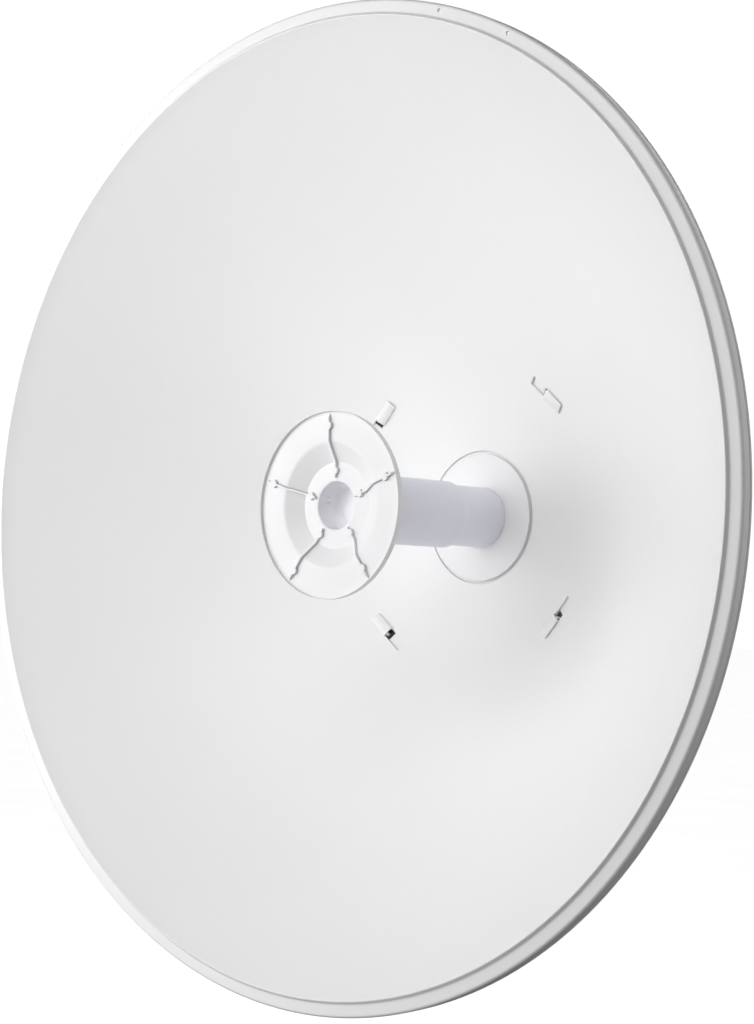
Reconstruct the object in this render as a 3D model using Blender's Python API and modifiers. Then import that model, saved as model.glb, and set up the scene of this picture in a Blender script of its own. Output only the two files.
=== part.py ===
"""Parabolic dish antenna, 0.65 m across, on its mast bracket.

Metres, +Z up. The dish looks along -Y. The origin is on the flat back face of
the mast bracket, which lies against the mast. Depths into the dish are
measured back from the plane of its front edge.
"""

import math

import bmesh
import bpy
from mathutils import Matrix, Vector

MM = 0.001
GAP = 0.3 * MM
WELD_DISTANCE = 0.02 * MM

# Reflector
RIM_RADIUS = 325.0 * MM
CREST_RADIUS = 314.2 * MM
STEP_FOOT_RADIUS = 318.1 * MM
STEP_DEPTH = 2.1 * MM
LIP_RADIUS = 324.2 * MM
LIP_LENGTH = 10.3 * MM
SHEET = 2.0 * MM
BOWL_DEPTH = 170.5 * MM
REFLECTOR_HOLE_RADIUS = 24.0 * MM
REFLECTOR_SEGMENTS = 64
BOWL_RINGS = 8
RIM_HOLE_RADIUS = 1.4 * MM
RIM_HOLE_CIRCLE = 320.8 * MM
RIM_HOLE_ANGLES = (74.6, 63.9)
CREST_Y = -286.0 * MM

# Slots and louvers
LATCH_COUNT = 4
LATCH_RADIUS = 106.0 * MM
LATCH_FIRST_ANGLE = 51.5
SLOT_LENGTH = 16.0 * MM
SLOT_WIDTH = 7.0 * MM
LOUVER_LENGTH = 15.0 * MM
LOUVER_WIDTH = 8.8 * MM
LOUVER_HEIGHT = 3.3 * MM
LOUVER_ROOF = 1.2 * MM
LOUVER_RAMP = 4.0 * MM
CUT_REACH = 8.0 * MM
HOOK_WIDTH = 6.2 * MM
HOOK_SHEET = 0.8 * MM
HOOK_SEAT = 0.4 * MM
HOOK_PLAY = 3.0 * MM
HOOK_BEND = 1.0 * MM

# Hub and feed
HUB_RADIUS = 44.2 * MM
HUB_RISE = 1.6 * MM
TUBE_RADIUS = 20.8 * MM
TUBE_BORE = 18.0 * MM
TUBE_FRONT = 38.3 * MM
TUBE_BACK = 181.0 * MM
SLEEVE_RADIUS = 22.7 * MM
SLEEVE_FRONT = 47.3 * MM
SLEEVE_BACK = 127.5 * MM
FEED_SEGMENTS = 32
BASE_FLANGE_RADIUS = 38.0 * MM
BASE_FLANGE = 6.0 * MM
BASE_RADIUS = 28.0 * MM
BASE_BACK = 222.0 * MM
BASE_CAP = 5.0 * MM

# Sub-reflector
DISC_RADIUS = 60.7 * MM
DISC_FRONT = 13.2 * MM
DISC_SHEET = 2.6 * MM
DISC_LIP_HEIGHT = 1.8 * MM
DISC_LIP_WIDTH = 1.4 * MM
DISC_EDGE = 2.6 * MM
DISC_EDGE_SLOPE = 6.0 * MM
CONE_TOP_RADIUS = 41.0 * MM
CONE_FOOT_RADIUS = 29.9 * MM
CONE_DEPTH = 7.0 * MM
MOUTH_DEPTH = 4.7 * MM
THROAT_RADIUS = 16.7 * MM
THROAT_PLUG = 1.6 * MM
SPIGOT_RADIUS = 20.6 * MM
SPIGOT_BACK = 38.0 * MM
RIB_COUNT = 5
RIB_FIRST_ANGLE = 93.0
RIB_WIDTH = 1.4 * MM
RIB_RISE = 1.2 * MM
RIB_SETBACK = 1.0 * MM
NECK_FRONT_RADIUS = 27.0 * MM
NECK_SHEET = 1.6 * MM

# Back pan
PAN_FLANGE_INNER = 98.0 * MM
PAN_FLANGE_OUTER = 120.0 * MM
PAN_LIP = 6.0 * MM
PAN_PLATE_RADIUS = 88.0 * MM
PAN_PLATE_FRONT = 200.5 * MM
PAN_SHEET = 2.5 * MM

# Brackets
WEB_Y = CREST_Y + PAN_PLATE_FRONT + PAN_SHEET + GAP
BRACKET_SHEET = 3.0 * MM
ELEVATION_HALF_WIDTH = 59.0 * MM
ELEVATION_HALF_HEIGHT = 75.0 * MM
ELEVATION_BACK_Y = -20.0 * MM
ELEVATION_NOSE = 58.0 * MM
WEB_HOLE_RADIUS = 34.0 * MM
MAST_WEB = 4.0 * MM
MAST_HALF_WIDTH = ELEVATION_HALF_WIDTH - BRACKET_SHEET - GAP
MAST_FRONT_Y = -62.0 * MM
MAST_NOSE = 54.0 * MM
PIVOT_Y = -42.0 * MM
PIVOT_Z = -40.0 * MM
LOCK_Z = 40.0 * MM
SLOT_SWEEP = 14.0
ARC_POINTS = 8
GROUND_Y = -66.0 * MM
GROUND_Z = -60.0 * MM

# Bolts
BOLT_RADIUS = 4.0 * MM
BOLT_HOLE = 4.3 * MM
NUT_RADIUS = 7.5 * MM
NUT_HEIGHT = 6.4 * MM
HEAD_HEIGHT = 5.3 * MM
DOME_RADIUS = 8.5 * MM
DOME_HEIGHT = 4.8 * MM
BOLT_TAIL = 3.0 * MM
BOLT_SEGMENTS = 12
HEX = 6
PAN_BOLT_X = 47.5 * MM
PAN_BOLT_Z = 52.0 * MM
CLAMP_BOLT_X = 42.0 * MM
CLAMP_BOLT_Z = 50.0 * MM
CLAMP_BOLT_END = 100.0 * MM
SCREW_RADIUS = 3.0 * MM
SCREW_HOLE = 3.3 * MM
SCREW_HEAD = 5.8 * MM
SCREW_HEAD_HEIGHT = 3.0 * MM
SCREW_LENGTH = 8.0 * MM

# Clamp jaws
MAST_RADIUS = 25.4 * MM
JAW_HALF_ANGLE = 60.0
JAW_SHEET = 4.0 * MM
JAW_HEIGHT = 30.0 * MM
JAW_EAR_Y = 35.4 * MM
JAW_HALF_WIDTH = 54.0 * MM

# Connectors
CONNECTOR_X = 11.0 * MM
CONNECTOR_HEX = 5.0 * MM
CONNECTOR_HEX_LENGTH = 2.5 * MM
CONNECTOR_RADIUS = 3.1 * MM
CONNECTOR_LENGTH = 9.0 * MM
CONNECTOR_BORE = 2.2 * MM
CONNECTOR_BORE_DEPTH = 6.0 * MM

FOUR_FOCAL = CREST_RADIUS ** 2 / BOWL_DEPTH

WHITE_PAINT = ("white_paint", (0.80, 0.81, 0.82), 0.38, 0.0)
WHITE_PLASTIC = ("white_plastic", (0.82, 0.82, 0.83), 0.42, 0.0)
FEED_PLASTIC = ("feed_plastic", (0.62, 0.61, 0.68), 0.45, 0.0)
ZINC_STEEL = ("zinc_steel", (0.55, 0.56, 0.57), 0.35, 1.0)
CONNECTOR_METAL = ("connector_metal", (0.78, 0.62, 0.30), 0.25, 1.0)


def clear_scene():
    for thing in list(bpy.data.objects):
        bpy.data.objects.remove(thing, do_unlink=True)


def new_collection(name):
    collection = bpy.data.collections.new(name)
    bpy.context.scene.collection.children.link(collection)
    return collection


clear_scene()
PARTS = new_collection("parabolic_dish_antenna")
CUTTERS = new_collection("cutters")
DISH = Matrix.Translation((0.0, CREST_Y, 0.0)) @ Matrix.Rotation(math.radians(90.0), 4, "X")


def material_for(name, finish):
    """A Principled material of the named piece's own."""
    _, colour, roughness, metallic = finish
    material = bpy.data.materials.new(name)
    material.use_nodes = True
    shader = material.node_tree.nodes["Principled BSDF"]
    shader.inputs["Base Color"].default_value = (*colour, 1.0)
    shader.inputs["Roughness"].default_value = roughness
    shader.inputs["Metallic"].default_value = metallic
    return material


def add_object(name, mesh, matrix=None, finish=None):
    """A part when it has a finish, and a cutter or a shape to join when not."""
    thing = bpy.data.objects.new(name, mesh)
    if finish is None:
        CUTTERS.objects.link(thing)
        thing.hide_render = True
        thing.display_type = "WIRE"
    else:
        PARTS.objects.link(thing)
        mesh.materials.append(material_for(name, finish))
    if matrix is not None:
        thing.matrix_world = matrix
    return thing


def turned(name, profile, segments, matrix, finish=None, closed=True):
    """A profile of (radius, height) points turned about the local Z axis."""
    mesh = bpy.data.meshes.new(name)
    points = [(radius, 0.0, height) for radius, height in profile]
    edges = [(index, index + 1) for index in range(len(points) - 1)]
    if closed:
        edges.append((len(points) - 1, 0))
    mesh.from_pydata(points, edges, [])
    thing = add_object(name, mesh, matrix, finish)
    screw = thing.modifiers.new("turn", "SCREW")
    screw.axis = "Z"
    screw.steps = segments
    screw.render_steps = segments
    screw.use_merge_vertices = True
    screw.merge_threshold = WELD_DISTANCE
    screw.use_smooth_shade = True
    return thing


def thicken(thing, thickness):
    """Solidify away from the faces' normals."""
    solid = thing.modifiers.new("sheet", "SOLIDIFY")
    solid.thickness = thickness
    solid.offset = -1.0
    solid.use_even_offset = True


def boolean(thing, other, operation):
    cut = thing.modifiers.new(other.name, "BOOLEAN")
    cut.operation = operation
    cut.solver = "EXACT"
    cut.object = other


def prism(name, outline, thickness, matrix, finish=None, holes=()):
    """A flat outline with holes, as thick as given, centred on its plane."""
    curve = bpy.data.curves.new(name, "CURVE")
    curve.dimensions = "2D"
    curve.fill_mode = "BOTH"
    curve.extrude = thickness / 2
    for loop in (outline, *holes):
        spline = curve.splines.new("POLY")
        spline.points.add(len(loop) - 1)
        for point, (x, y) in zip(spline.points, loop):
            point.co = (x, y, 0.0, 1.0)
        spline.use_cyclic_u = True
    guide = bpy.data.objects.new(name, curve)
    CUTTERS.objects.link(guide)
    bpy.context.view_layer.update()
    graph = bpy.context.evaluated_depsgraph_get()
    mesh = bpy.data.meshes.new_from_object(guide.evaluated_get(graph))
    bpy.data.objects.remove(guide, do_unlink=True)
    weld(mesh)
    mesh.materials.clear()
    return add_object(name, mesh, matrix, finish)


def weld(mesh):
    work = bmesh.new()
    work.from_mesh(mesh)
    bmesh.ops.remove_doubles(work, verts=work.verts, dist=WELD_DISTANCE)
    bmesh.ops.recalc_face_normals(work, faces=work.faces)
    work.to_mesh(mesh)
    work.free()


def joined(name, things):
    """Cutters that don't touch, as one object in world space."""
    work = bmesh.new()
    for thing in things:
        start = len(work.verts)
        work.from_mesh(thing.data)
        work.verts.ensure_lookup_table()
        bmesh.ops.transform(work, matrix=thing.matrix_world, verts=work.verts[start:])
        bpy.data.objects.remove(thing, do_unlink=True)
    mesh = bpy.data.meshes.new(name)
    work.to_mesh(mesh)
    work.free()
    return add_object(name, mesh)


def rod(name, radius, start, end, segments, finish=None):
    """A cylinder, or a hexagon, from one point to another."""
    start = Vector(start)
    end = Vector(end)
    work = bmesh.new()
    bmesh.ops.create_cone(
        work,
        cap_ends=True,
        segments=segments,
        radius1=radius,
        radius2=radius,
        depth=(end - start).length,
    )
    mesh = bpy.data.meshes.new(name)
    work.to_mesh(mesh)
    work.free()
    turn = (end - start).to_track_quat("Z", "Y").to_matrix().to_4x4()
    return add_object(name, mesh, Matrix.Translation((start + end) / 2) @ turn, finish)


def circle(centre, radius, segments):
    step = math.tau / segments
    return [
        (centre[0] + radius * math.cos(step * index), centre[1] + radius * math.sin(step * index))
        for index in range(segments)
    ]


def bowl_depth(radius):
    """Depth of the bowl's front surface behind the plane of its edge."""
    return BOWL_DEPTH - radius ** 2 / FOUR_FOCAL


def sheet_back(radius, clearance=GAP):
    """Depth of the sheet's back surface, with clearance square to the sheet."""
    slope = 2 * radius / FOUR_FOCAL
    return bowl_depth(radius) + (SHEET + clearance) * math.hypot(1.0, slope)


def latch_frame(index):
    """Local frame on the bowl: X round the dish, Y out of the sheet, Z outward."""
    angle = math.radians(LATCH_FIRST_ANGLE + index * 360.0 / LATCH_COUNT)
    tilt = math.atan(2 * LATCH_RADIUS / FOUR_FOCAL)
    outward = Vector((math.cos(angle), math.sin(angle), 0.0))
    around = Vector((-math.sin(angle), math.cos(angle), 0.0))
    normal = Vector((0.0, 0.0, math.cos(tilt))) - outward * math.sin(tilt)
    along = around.cross(normal)
    place = outward * LATCH_RADIUS + Vector((0.0, 0.0, -bowl_depth(LATCH_RADIUS)))
    turn = Matrix((around, normal, along)).transposed().to_4x4()
    return DISH @ Matrix.Translation(place) @ turn


def build_reflector():
    fixed = [REFLECTOR_HOLE_RADIUS, HUB_RADIUS, PAN_FLANGE_INNER, PAN_FLANGE_OUTER]
    step = (CREST_RADIUS - PAN_FLANGE_OUTER) / BOWL_RINGS
    rings = [PAN_FLANGE_OUTER + step * (index + 1) for index in range(BOWL_RINGS)]
    profile = [(radius, -bowl_depth(radius)) for radius in fixed + rings]
    profile += [
        (STEP_FOOT_RADIUS, -STEP_DEPTH),
        (RIM_RADIUS, -STEP_DEPTH),
        (LIP_RADIUS, -STEP_DEPTH - LIP_LENGTH),
    ]
    dish = turned("reflector", profile, REFLECTOR_SEGMENTS, DISH, WHITE_PAINT, closed=False)
    thicken(dish, SHEET)

    top = LOUVER_HEIGHT
    louver = [
        (-LOUVER_LENGTH, -SHEET / 2),
        (-LOUVER_LENGTH, LOUVER_ROOF / 2),
        (-LOUVER_LENGTH + LOUVER_RAMP, top),
        (HOOK_BEND, top),
        (HOOK_BEND, -SHEET / 2),
    ]
    ceiling = top - LOUVER_ROOF
    pocket = -LOUVER_LENGTH + LOUVER_RAMP
    opening = [
        (pocket, -CUT_REACH),
        (SLOT_LENGTH, -CUT_REACH),
        (SLOT_LENGTH, CUT_REACH),
        (0.0, CUT_REACH),
        (0.0, ceiling),
        (pocket, ceiling),
    ]
    louvers = []
    cuts = []
    for index in range(LATCH_COUNT):
        frame = latch_frame(index)
        louvers.append(prism("louver", louver, LOUVER_WIDTH, frame))
        cuts.append(prism("slot", opening, SLOT_WIDTH, frame))
    for angle in RIM_HOLE_ANGLES:
        turn = math.radians(angle)
        x = RIM_HOLE_CIRCLE * math.cos(turn)
        z = RIM_HOLE_CIRCLE * math.sin(turn)
        y = CREST_Y + STEP_DEPTH
        cuts.append(rod("rim_hole", RIM_HOLE_RADIUS, (x, y - CUT_REACH, z), (x, y + CUT_REACH, z), HEX))
    boolean(dish, joined("louvers", louvers), "UNION")
    boolean(dish, joined("reflector_cuts", cuts), "DIFFERENCE")


def build_latch_hooks():
    """Tongues in the slots, each rising under its louver."""
    foot = -SHEET + HOOK_SEAT
    head = (LOUVER_HEIGHT - LOUVER_ROOF) / 2
    reach = -LOUVER_LENGTH + LOUVER_RAMP + HOOK_PLAY
    outline = [
        (SLOT_LENGTH - HOOK_PLAY, foot),
        (SLOT_LENGTH - HOOK_PLAY, foot + HOOK_SHEET),
        (HOOK_PLAY, foot + HOOK_SHEET),
        (-HOOK_BEND, head + HOOK_SHEET / 2),
        (reach, head + HOOK_SHEET / 2),
        (reach, head - HOOK_SHEET / 2),
        (-HOOK_BEND, head - HOOK_SHEET / 2),
        (HOOK_PLAY, foot),
    ]
    for index in range(LATCH_COUNT):
        prism(f"latch_hook_{index + 1}", outline, HOOK_WIDTH, latch_frame(index), WHITE_PAINT)


def build_hub_cover():
    inner = TUBE_RADIUS + GAP
    radii = [inner, REFLECTOR_HOLE_RADIUS, HUB_RADIUS]
    top = [(radius, -bowl_depth(radius) + HUB_RISE) for radius in radii]
    under = [(radius, -bowl_depth(radius) + GAP) for radius in reversed(radii)]
    turned("hub_cover", top + under, REFLECTOR_SEGMENTS, DISH, WHITE_PAINT)


def build_feed_tubes():
    tube = [
        (TUBE_BORE, -TUBE_FRONT),
        (TUBE_RADIUS, -TUBE_FRONT),
        (TUBE_RADIUS, -TUBE_BACK),
        (TUBE_BORE, -TUBE_BACK),
    ]
    turned("feed_tube", tube, FEED_SEGMENTS, DISH, FEED_PLASTIC)
    inner = TUBE_RADIUS + GAP
    sleeve = [
        (inner, -SLEEVE_FRONT),
        (SLEEVE_RADIUS, -SLEEVE_FRONT),
        (SLEEVE_RADIUS, -SLEEVE_BACK),
        (inner, -SLEEVE_BACK),
    ]
    turned("feed_sleeve", sleeve, FEED_SEGMENTS, DISH, FEED_PLASTIC)


def build_feed_base():
    socket = TUBE_RADIUS + GAP
    shoulder = TUBE_BACK + GAP
    seat = REFLECTOR_HOLE_RADIUS
    profile = [
        (socket, -sheet_back(seat)),
        (seat, -sheet_back(seat)),
        (BASE_FLANGE_RADIUS, -sheet_back(BASE_FLANGE_RADIUS)),
        (BASE_FLANGE_RADIUS, -sheet_back(0.0) - BASE_FLANGE),
        (BASE_RADIUS, -sheet_back(0.0) - BASE_FLANGE),
        (BASE_RADIUS, -BASE_BACK),
        (0.0, -BASE_BACK),
        (0.0, -BASE_BACK + BASE_CAP),
        (TUBE_BORE, -BASE_BACK + BASE_CAP),
        (TUBE_BORE, -shoulder),
        (socket, -shoulder),
    ]
    turned("feed_base", profile, FEED_SEGMENTS, DISH, FEED_PLASTIC)


def build_subreflector():
    face = DISC_FRONT + DISC_LIP_HEIGHT
    floor = face + CONE_DEPTH
    mouth = face + MOUTH_DEPTH
    rim = DISC_RADIUS - DISC_LIP_WIDTH
    profile = [
        (0.0, -SPIGOT_BACK + THROAT_PLUG),
        (THROAT_RADIUS, -SPIGOT_BACK + THROAT_PLUG),
        (THROAT_RADIUS, -mouth),
        (CONE_FOOT_RADIUS, -floor),
        (CONE_TOP_RADIUS, -face),
        (rim, -face),
        (rim, -DISC_FRONT),
        (DISC_RADIUS, -DISC_FRONT),
        (DISC_RADIUS, -DISC_FRONT - DISC_EDGE),
        (DISC_RADIUS - DISC_EDGE_SLOPE, -face - DISC_SHEET),
        (CONE_TOP_RADIUS, -face - DISC_SHEET),
        (CONE_FOOT_RADIUS, -floor - DISC_SHEET),
        (SPIGOT_RADIUS, -floor - DISC_SHEET),
        (SPIGOT_RADIUS, -SPIGOT_BACK),
        (0.0, -SPIGOT_BACK),
    ]
    disc = turned("subreflector", profile, REFLECTOR_SEGMENTS, DISH, WHITE_PLASTIC)
    start = THROAT_RADIUS + RIB_SETBACK
    end = rim + DISC_LIP_WIDTH / 2
    sunk = DISC_SHEET / 2
    rib = [
        (start, -mouth + RIB_RISE),
        (start, -mouth - sunk),
        (CONE_FOOT_RADIUS, -floor - sunk),
        (CONE_TOP_RADIUS, -face - sunk),
        (end, -face - sunk),
        (end, -face + RIB_RISE),
        (CONE_TOP_RADIUS, -face + RIB_RISE),
        (CONE_FOOT_RADIUS, -floor + RIB_RISE),
    ]
    ribs = []
    for index in range(RIB_COUNT):
        turn = Matrix.Rotation(math.radians(RIB_FIRST_ANGLE + index * 360.0 / RIB_COUNT), 4, "Z")
        stand = Matrix.Rotation(math.radians(90.0), 4, "X")
        ribs.append(prism("rib", rib, RIB_WIDTH, DISH @ turn @ stand))
    boolean(disc, joined("ribs", ribs), "UNION")


def build_subreflector_neck():
    """The cone that carries the disc on the sleeve."""
    floor = DISC_FRONT + DISC_LIP_HEIGHT + CONE_DEPTH + DISC_SHEET
    front = floor + GAP
    back = SLEEVE_FRONT - GAP
    inner = TUBE_RADIUS + GAP
    profile = [
        (NECK_FRONT_RADIUS - NECK_SHEET, -front),
        (NECK_FRONT_RADIUS, -front),
        (SLEEVE_RADIUS, -back + NECK_SHEET),
        (SLEEVE_RADIUS, -back),
        (inner, -back),
        (inner, -back + NECK_SHEET),
    ]
    turned("subreflector_neck", profile, FEED_SEGMENTS, DISH, FEED_PLASTIC)


def bolt_positions(x, z):
    """The four corners of a bolt rectangle, each with the words for its name."""
    for high, z_sign in (("upper", 1), ("lower", -1)):
        for side, x_sign in (("left", -1), ("right", 1)):
            yield f"{high}_{side}", x_sign * x, z_sign * z


def build_back_pan():
    profile = [
        (BASE_RADIUS + 2 * GAP, -PAN_PLATE_FRONT),
        (PAN_PLATE_RADIUS, -PAN_PLATE_FRONT),
        (PAN_FLANGE_INNER, -sheet_back(PAN_FLANGE_INNER)),
        (PAN_FLANGE_OUTER, -sheet_back(PAN_FLANGE_OUTER)),
        (PAN_FLANGE_OUTER, -sheet_back(PAN_FLANGE_OUTER) - PAN_LIP),
    ]
    pan = turned("back_pan", profile, REFLECTOR_SEGMENTS, DISH, WHITE_PAINT, closed=False)
    thicken(pan, PAN_SHEET)
    boolean(pan, bolt_cutters("pan_holes", PAN_BOLT_X, PAN_BOLT_Z, WEB_Y), "DIFFERENCE")


def bolt_cutters(name, x, z, y):
    cuts = [
        rod("hole", BOLT_HOLE, (px, y - CUT_REACH, pz), (px, y + CUT_REACH, pz), BOLT_SEGMENTS)
        for _, px, pz in bolt_positions(x, z)
    ]
    return joined(name, cuts)


def u_channel(name, half_width, web_y, web, cheek_y, height, finish):
    """A channel with its web square to Y and its cheeks running to cheek_y."""
    away = 1.0 if cheek_y > web_y else -1.0
    inside = half_width - BRACKET_SHEET
    outline = [
        (-half_width, web_y),
        (half_width, web_y),
        (half_width, cheek_y),
        (inside, cheek_y),
        (inside, web_y + away * web),
        (-inside, web_y + away * web),
        (-inside, cheek_y),
        (-half_width, cheek_y),
    ]
    return prism(name, outline, 2 * height, Matrix.Identity(4), finish)


def side_view():
    """Frame whose X is the world's Y and whose Y is the world's Z."""
    return Matrix(((0, 0, 1, 0), (1, 0, 0, 0), (0, 1, 0, 0), (0, 0, 0, 1)))


def arc_slot():
    """Outline of the curved slot for the lock bolt, round the pivot."""
    centre = Vector((PIVOT_Y, PIVOT_Z))
    reach = LOCK_Z - PIVOT_Z
    outline = []
    for radius, way in ((reach + BOLT_HOLE, 1), (reach - BOLT_HOLE, -1)):
        for index in range(ARC_POINTS):
            share = 2 * index / (ARC_POINTS - 1) - 1
            angle = math.radians(90.0 + way * share * SLOT_SWEEP)
            outline.append(tuple(centre + Vector((math.cos(angle), math.sin(angle))) * radius))
    return outline


def build_elevation_bracket():
    bracket = u_channel(
        "elevation_bracket", ELEVATION_HALF_WIDTH, WEB_Y, BRACKET_SHEET, ELEVATION_BACK_Y,
        ELEVATION_HALF_HEIGHT, WHITE_PAINT,
    )
    outline = [
        (WEB_Y - CUT_REACH, -ELEVATION_HALF_HEIGHT - CUT_REACH),
        (WEB_Y + 2 * CUT_REACH, -ELEVATION_HALF_HEIGHT - CUT_REACH),
        (ELEVATION_BACK_Y + GAP, -ELEVATION_NOSE),
        (ELEVATION_BACK_Y + GAP, ELEVATION_NOSE),
        (WEB_Y + 2 * CUT_REACH, ELEVATION_HALF_HEIGHT + CUT_REACH),
        (WEB_Y - CUT_REACH, ELEVATION_HALF_HEIGHT + CUT_REACH),
    ]
    holes = [
        circle((PIVOT_Y, PIVOT_Z), BOLT_HOLE, BOLT_SEGMENTS),
        circle((GROUND_Y, GROUND_Z), SCREW_HOLE, BOLT_SEGMENTS),
        arc_slot(),
    ]
    side = prism("elevation_side", outline, 3 * ELEVATION_HALF_WIDTH, side_view(), holes=holes)
    boolean(bracket, side, "INTERSECT")
    cuts = bolt_cutters("elevation_holes", PAN_BOLT_X, PAN_BOLT_Z, WEB_Y)
    boolean(bracket, cuts, "DIFFERENCE")
    middle = rod(
        "elevation_middle", WEB_HOLE_RADIUS, (0, WEB_Y - CUT_REACH, 0), (0, WEB_Y + CUT_REACH, 0),
        FEED_SEGMENTS,
    )
    boolean(bracket, middle, "DIFFERENCE")


def build_mast_bracket():
    bracket = u_channel(
        "mast_bracket", MAST_HALF_WIDTH, 0.0, MAST_WEB, MAST_FRONT_Y, ELEVATION_HALF_HEIGHT, WHITE_PAINT
    )
    outline = [
        (CUT_REACH, -ELEVATION_HALF_HEIGHT - CUT_REACH),
        (-2 * CUT_REACH, -ELEVATION_HALF_HEIGHT - CUT_REACH),
        (MAST_FRONT_Y - GAP, -MAST_NOSE),
        (MAST_FRONT_Y - GAP, MAST_NOSE),
        (-2 * CUT_REACH, ELEVATION_HALF_HEIGHT + CUT_REACH),
        (CUT_REACH, ELEVATION_HALF_HEIGHT + CUT_REACH),
    ]
    holes = [circle((PIVOT_Y, z), BOLT_HOLE, BOLT_SEGMENTS) for z in (PIVOT_Z, LOCK_Z)]
    side = prism("mast_side", outline, 3 * MAST_HALF_WIDTH, side_view(), holes=holes)
    boolean(bracket, side, "INTERSECT")
    cuts = bolt_cutters("mast_holes", CLAMP_BOLT_X, CLAMP_BOLT_Z, 0.0)
    boolean(bracket, cuts, "DIFFERENCE")


def spool(name, finish, head, shank, nut, axis, place):
    """A bolt with its nut: each stretch is (radius, start, end, sides) along the axis."""
    body = None
    for index, (radius, start, end, sides) in enumerate((head, shank, nut)):
        piece = rod(
            name if index == 0 else f"{name}_{index}", radius, place + axis * start, place + axis * end,
            sides, finish if index == 0 else None,
        )
        if body is None:
            body = piece
        else:
            boolean(body, piece, "UNION")
    return body


def build_pan_bolts():
    front = CREST_Y + PAN_PLATE_FRONT - GAP
    back = WEB_Y + BRACKET_SHEET + GAP
    for words, x, z in bolt_positions(PAN_BOLT_X, PAN_BOLT_Z):
        spool(
            f"pan_bolt_{words}",
            ZINC_STEEL,
            (DOME_RADIUS, front - DOME_HEIGHT, front, BOLT_SEGMENTS),
            (BOLT_RADIUS, front - DOME_HEIGHT / 2, back + NUT_HEIGHT + BOLT_TAIL, BOLT_SEGMENTS),
            (NUT_RADIUS, back, back + NUT_HEIGHT, HEX),
            Vector((0, 1, 0)),
            Vector((x, 0, z)),
        )


def build_side_bolts():
    outside = ELEVATION_HALF_WIDTH + GAP
    inside = MAST_HALF_WIDTH - BRACKET_SHEET - GAP
    for kind, z in (("pivot_bolt", PIVOT_Z), ("lock_bolt", LOCK_Z)):
        for side, sign in (("left", -1.0), ("right", 1.0)):
            spool(
                f"{kind}_{side}",
                ZINC_STEEL,
                (NUT_RADIUS, outside, outside + HEAD_HEIGHT, HEX),
                (BOLT_RADIUS, inside - NUT_HEIGHT - BOLT_TAIL, outside + HEAD_HEIGHT / 2, BOLT_SEGMENTS),
                (NUT_RADIUS, inside - NUT_HEIGHT, inside, HEX),
                Vector((sign, 0, 0)),
                Vector((0, PIVOT_Y, z)),
            )
    screw = rod(
        "ground_screw", SCREW_HEAD, (outside, GROUND_Y, GROUND_Z),
        (outside + SCREW_HEAD_HEIGHT, GROUND_Y, GROUND_Z), HEX, ZINC_STEEL,
    )
    shank = rod(
        "ground_shank", SCREW_RADIUS, (outside - SCREW_LENGTH, GROUND_Y, GROUND_Z),
        (outside + SCREW_HEAD_HEIGHT / 2, GROUND_Y, GROUND_Z), BOLT_SEGMENTS,
    )
    boolean(screw, shank, "UNION")


def build_clamp():
    slant = math.radians(JAW_HALF_ANGLE)
    apex = MAST_RADIUS + MAST_RADIUS / math.sin(slant)
    outer_apex = apex + JAW_SHEET / math.sin(slant)
    ear_back = JAW_EAR_Y + JAW_SHEET
    knee = (apex - JAW_EAR_Y) * math.tan(slant)
    outer_knee = (outer_apex - ear_back) * math.tan(slant)
    outline = [
        (-JAW_HALF_WIDTH, JAW_EAR_Y),
        (-knee, JAW_EAR_Y),
        (0.0, apex),
        (knee, JAW_EAR_Y),
        (JAW_HALF_WIDTH, JAW_EAR_Y),
        (JAW_HALF_WIDTH, ear_back),
        (outer_knee, ear_back),
        (0.0, outer_apex),
        (-outer_knee, ear_back),
        (-JAW_HALF_WIDTH, ear_back),
    ]
    cuts = bolt_cutters("jaw_holes", CLAMP_BOLT_X, CLAMP_BOLT_Z, JAW_EAR_Y)
    for name, z in (("clamp_jaw_upper", CLAMP_BOLT_Z), ("clamp_jaw_lower", -CLAMP_BOLT_Z)):
        jaw = prism(name, outline, JAW_HEIGHT, Matrix.Translation((0, 0, z)), ZINC_STEEL)
        boolean(jaw, cuts, "DIFFERENCE")
    head_back = -MAST_WEB - GAP
    nut_front = ear_back + GAP
    for words, x, z in bolt_positions(CLAMP_BOLT_X, CLAMP_BOLT_Z):
        bolt = rod(
            f"clamp_bolt_{words}", DOME_RADIUS, (x, head_back - DOME_HEIGHT, z), (x, head_back, z),
            BOLT_SEGMENTS, ZINC_STEEL,
        )
        shank = rod(
            f"clamp_shank_{words}", BOLT_RADIUS, (x, head_back - DOME_HEIGHT / 2, z),
            (x, CLAMP_BOLT_END, z), BOLT_SEGMENTS,
        )
        boolean(bolt, shank, "UNION")
        nut = rod(
            f"clamp_nut_{words}", NUT_RADIUS, (x, nut_front, z), (x, nut_front + NUT_HEIGHT, z), HEX,
            ZINC_STEEL,
        )
        bore = rod(
            f"nut_bore_{words}", BOLT_HOLE, (x, nut_front - CUT_REACH, z),
            (x, nut_front + 2 * CUT_REACH, z), BOLT_SEGMENTS,
        )
        boolean(nut, bore, "DIFFERENCE")


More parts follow.
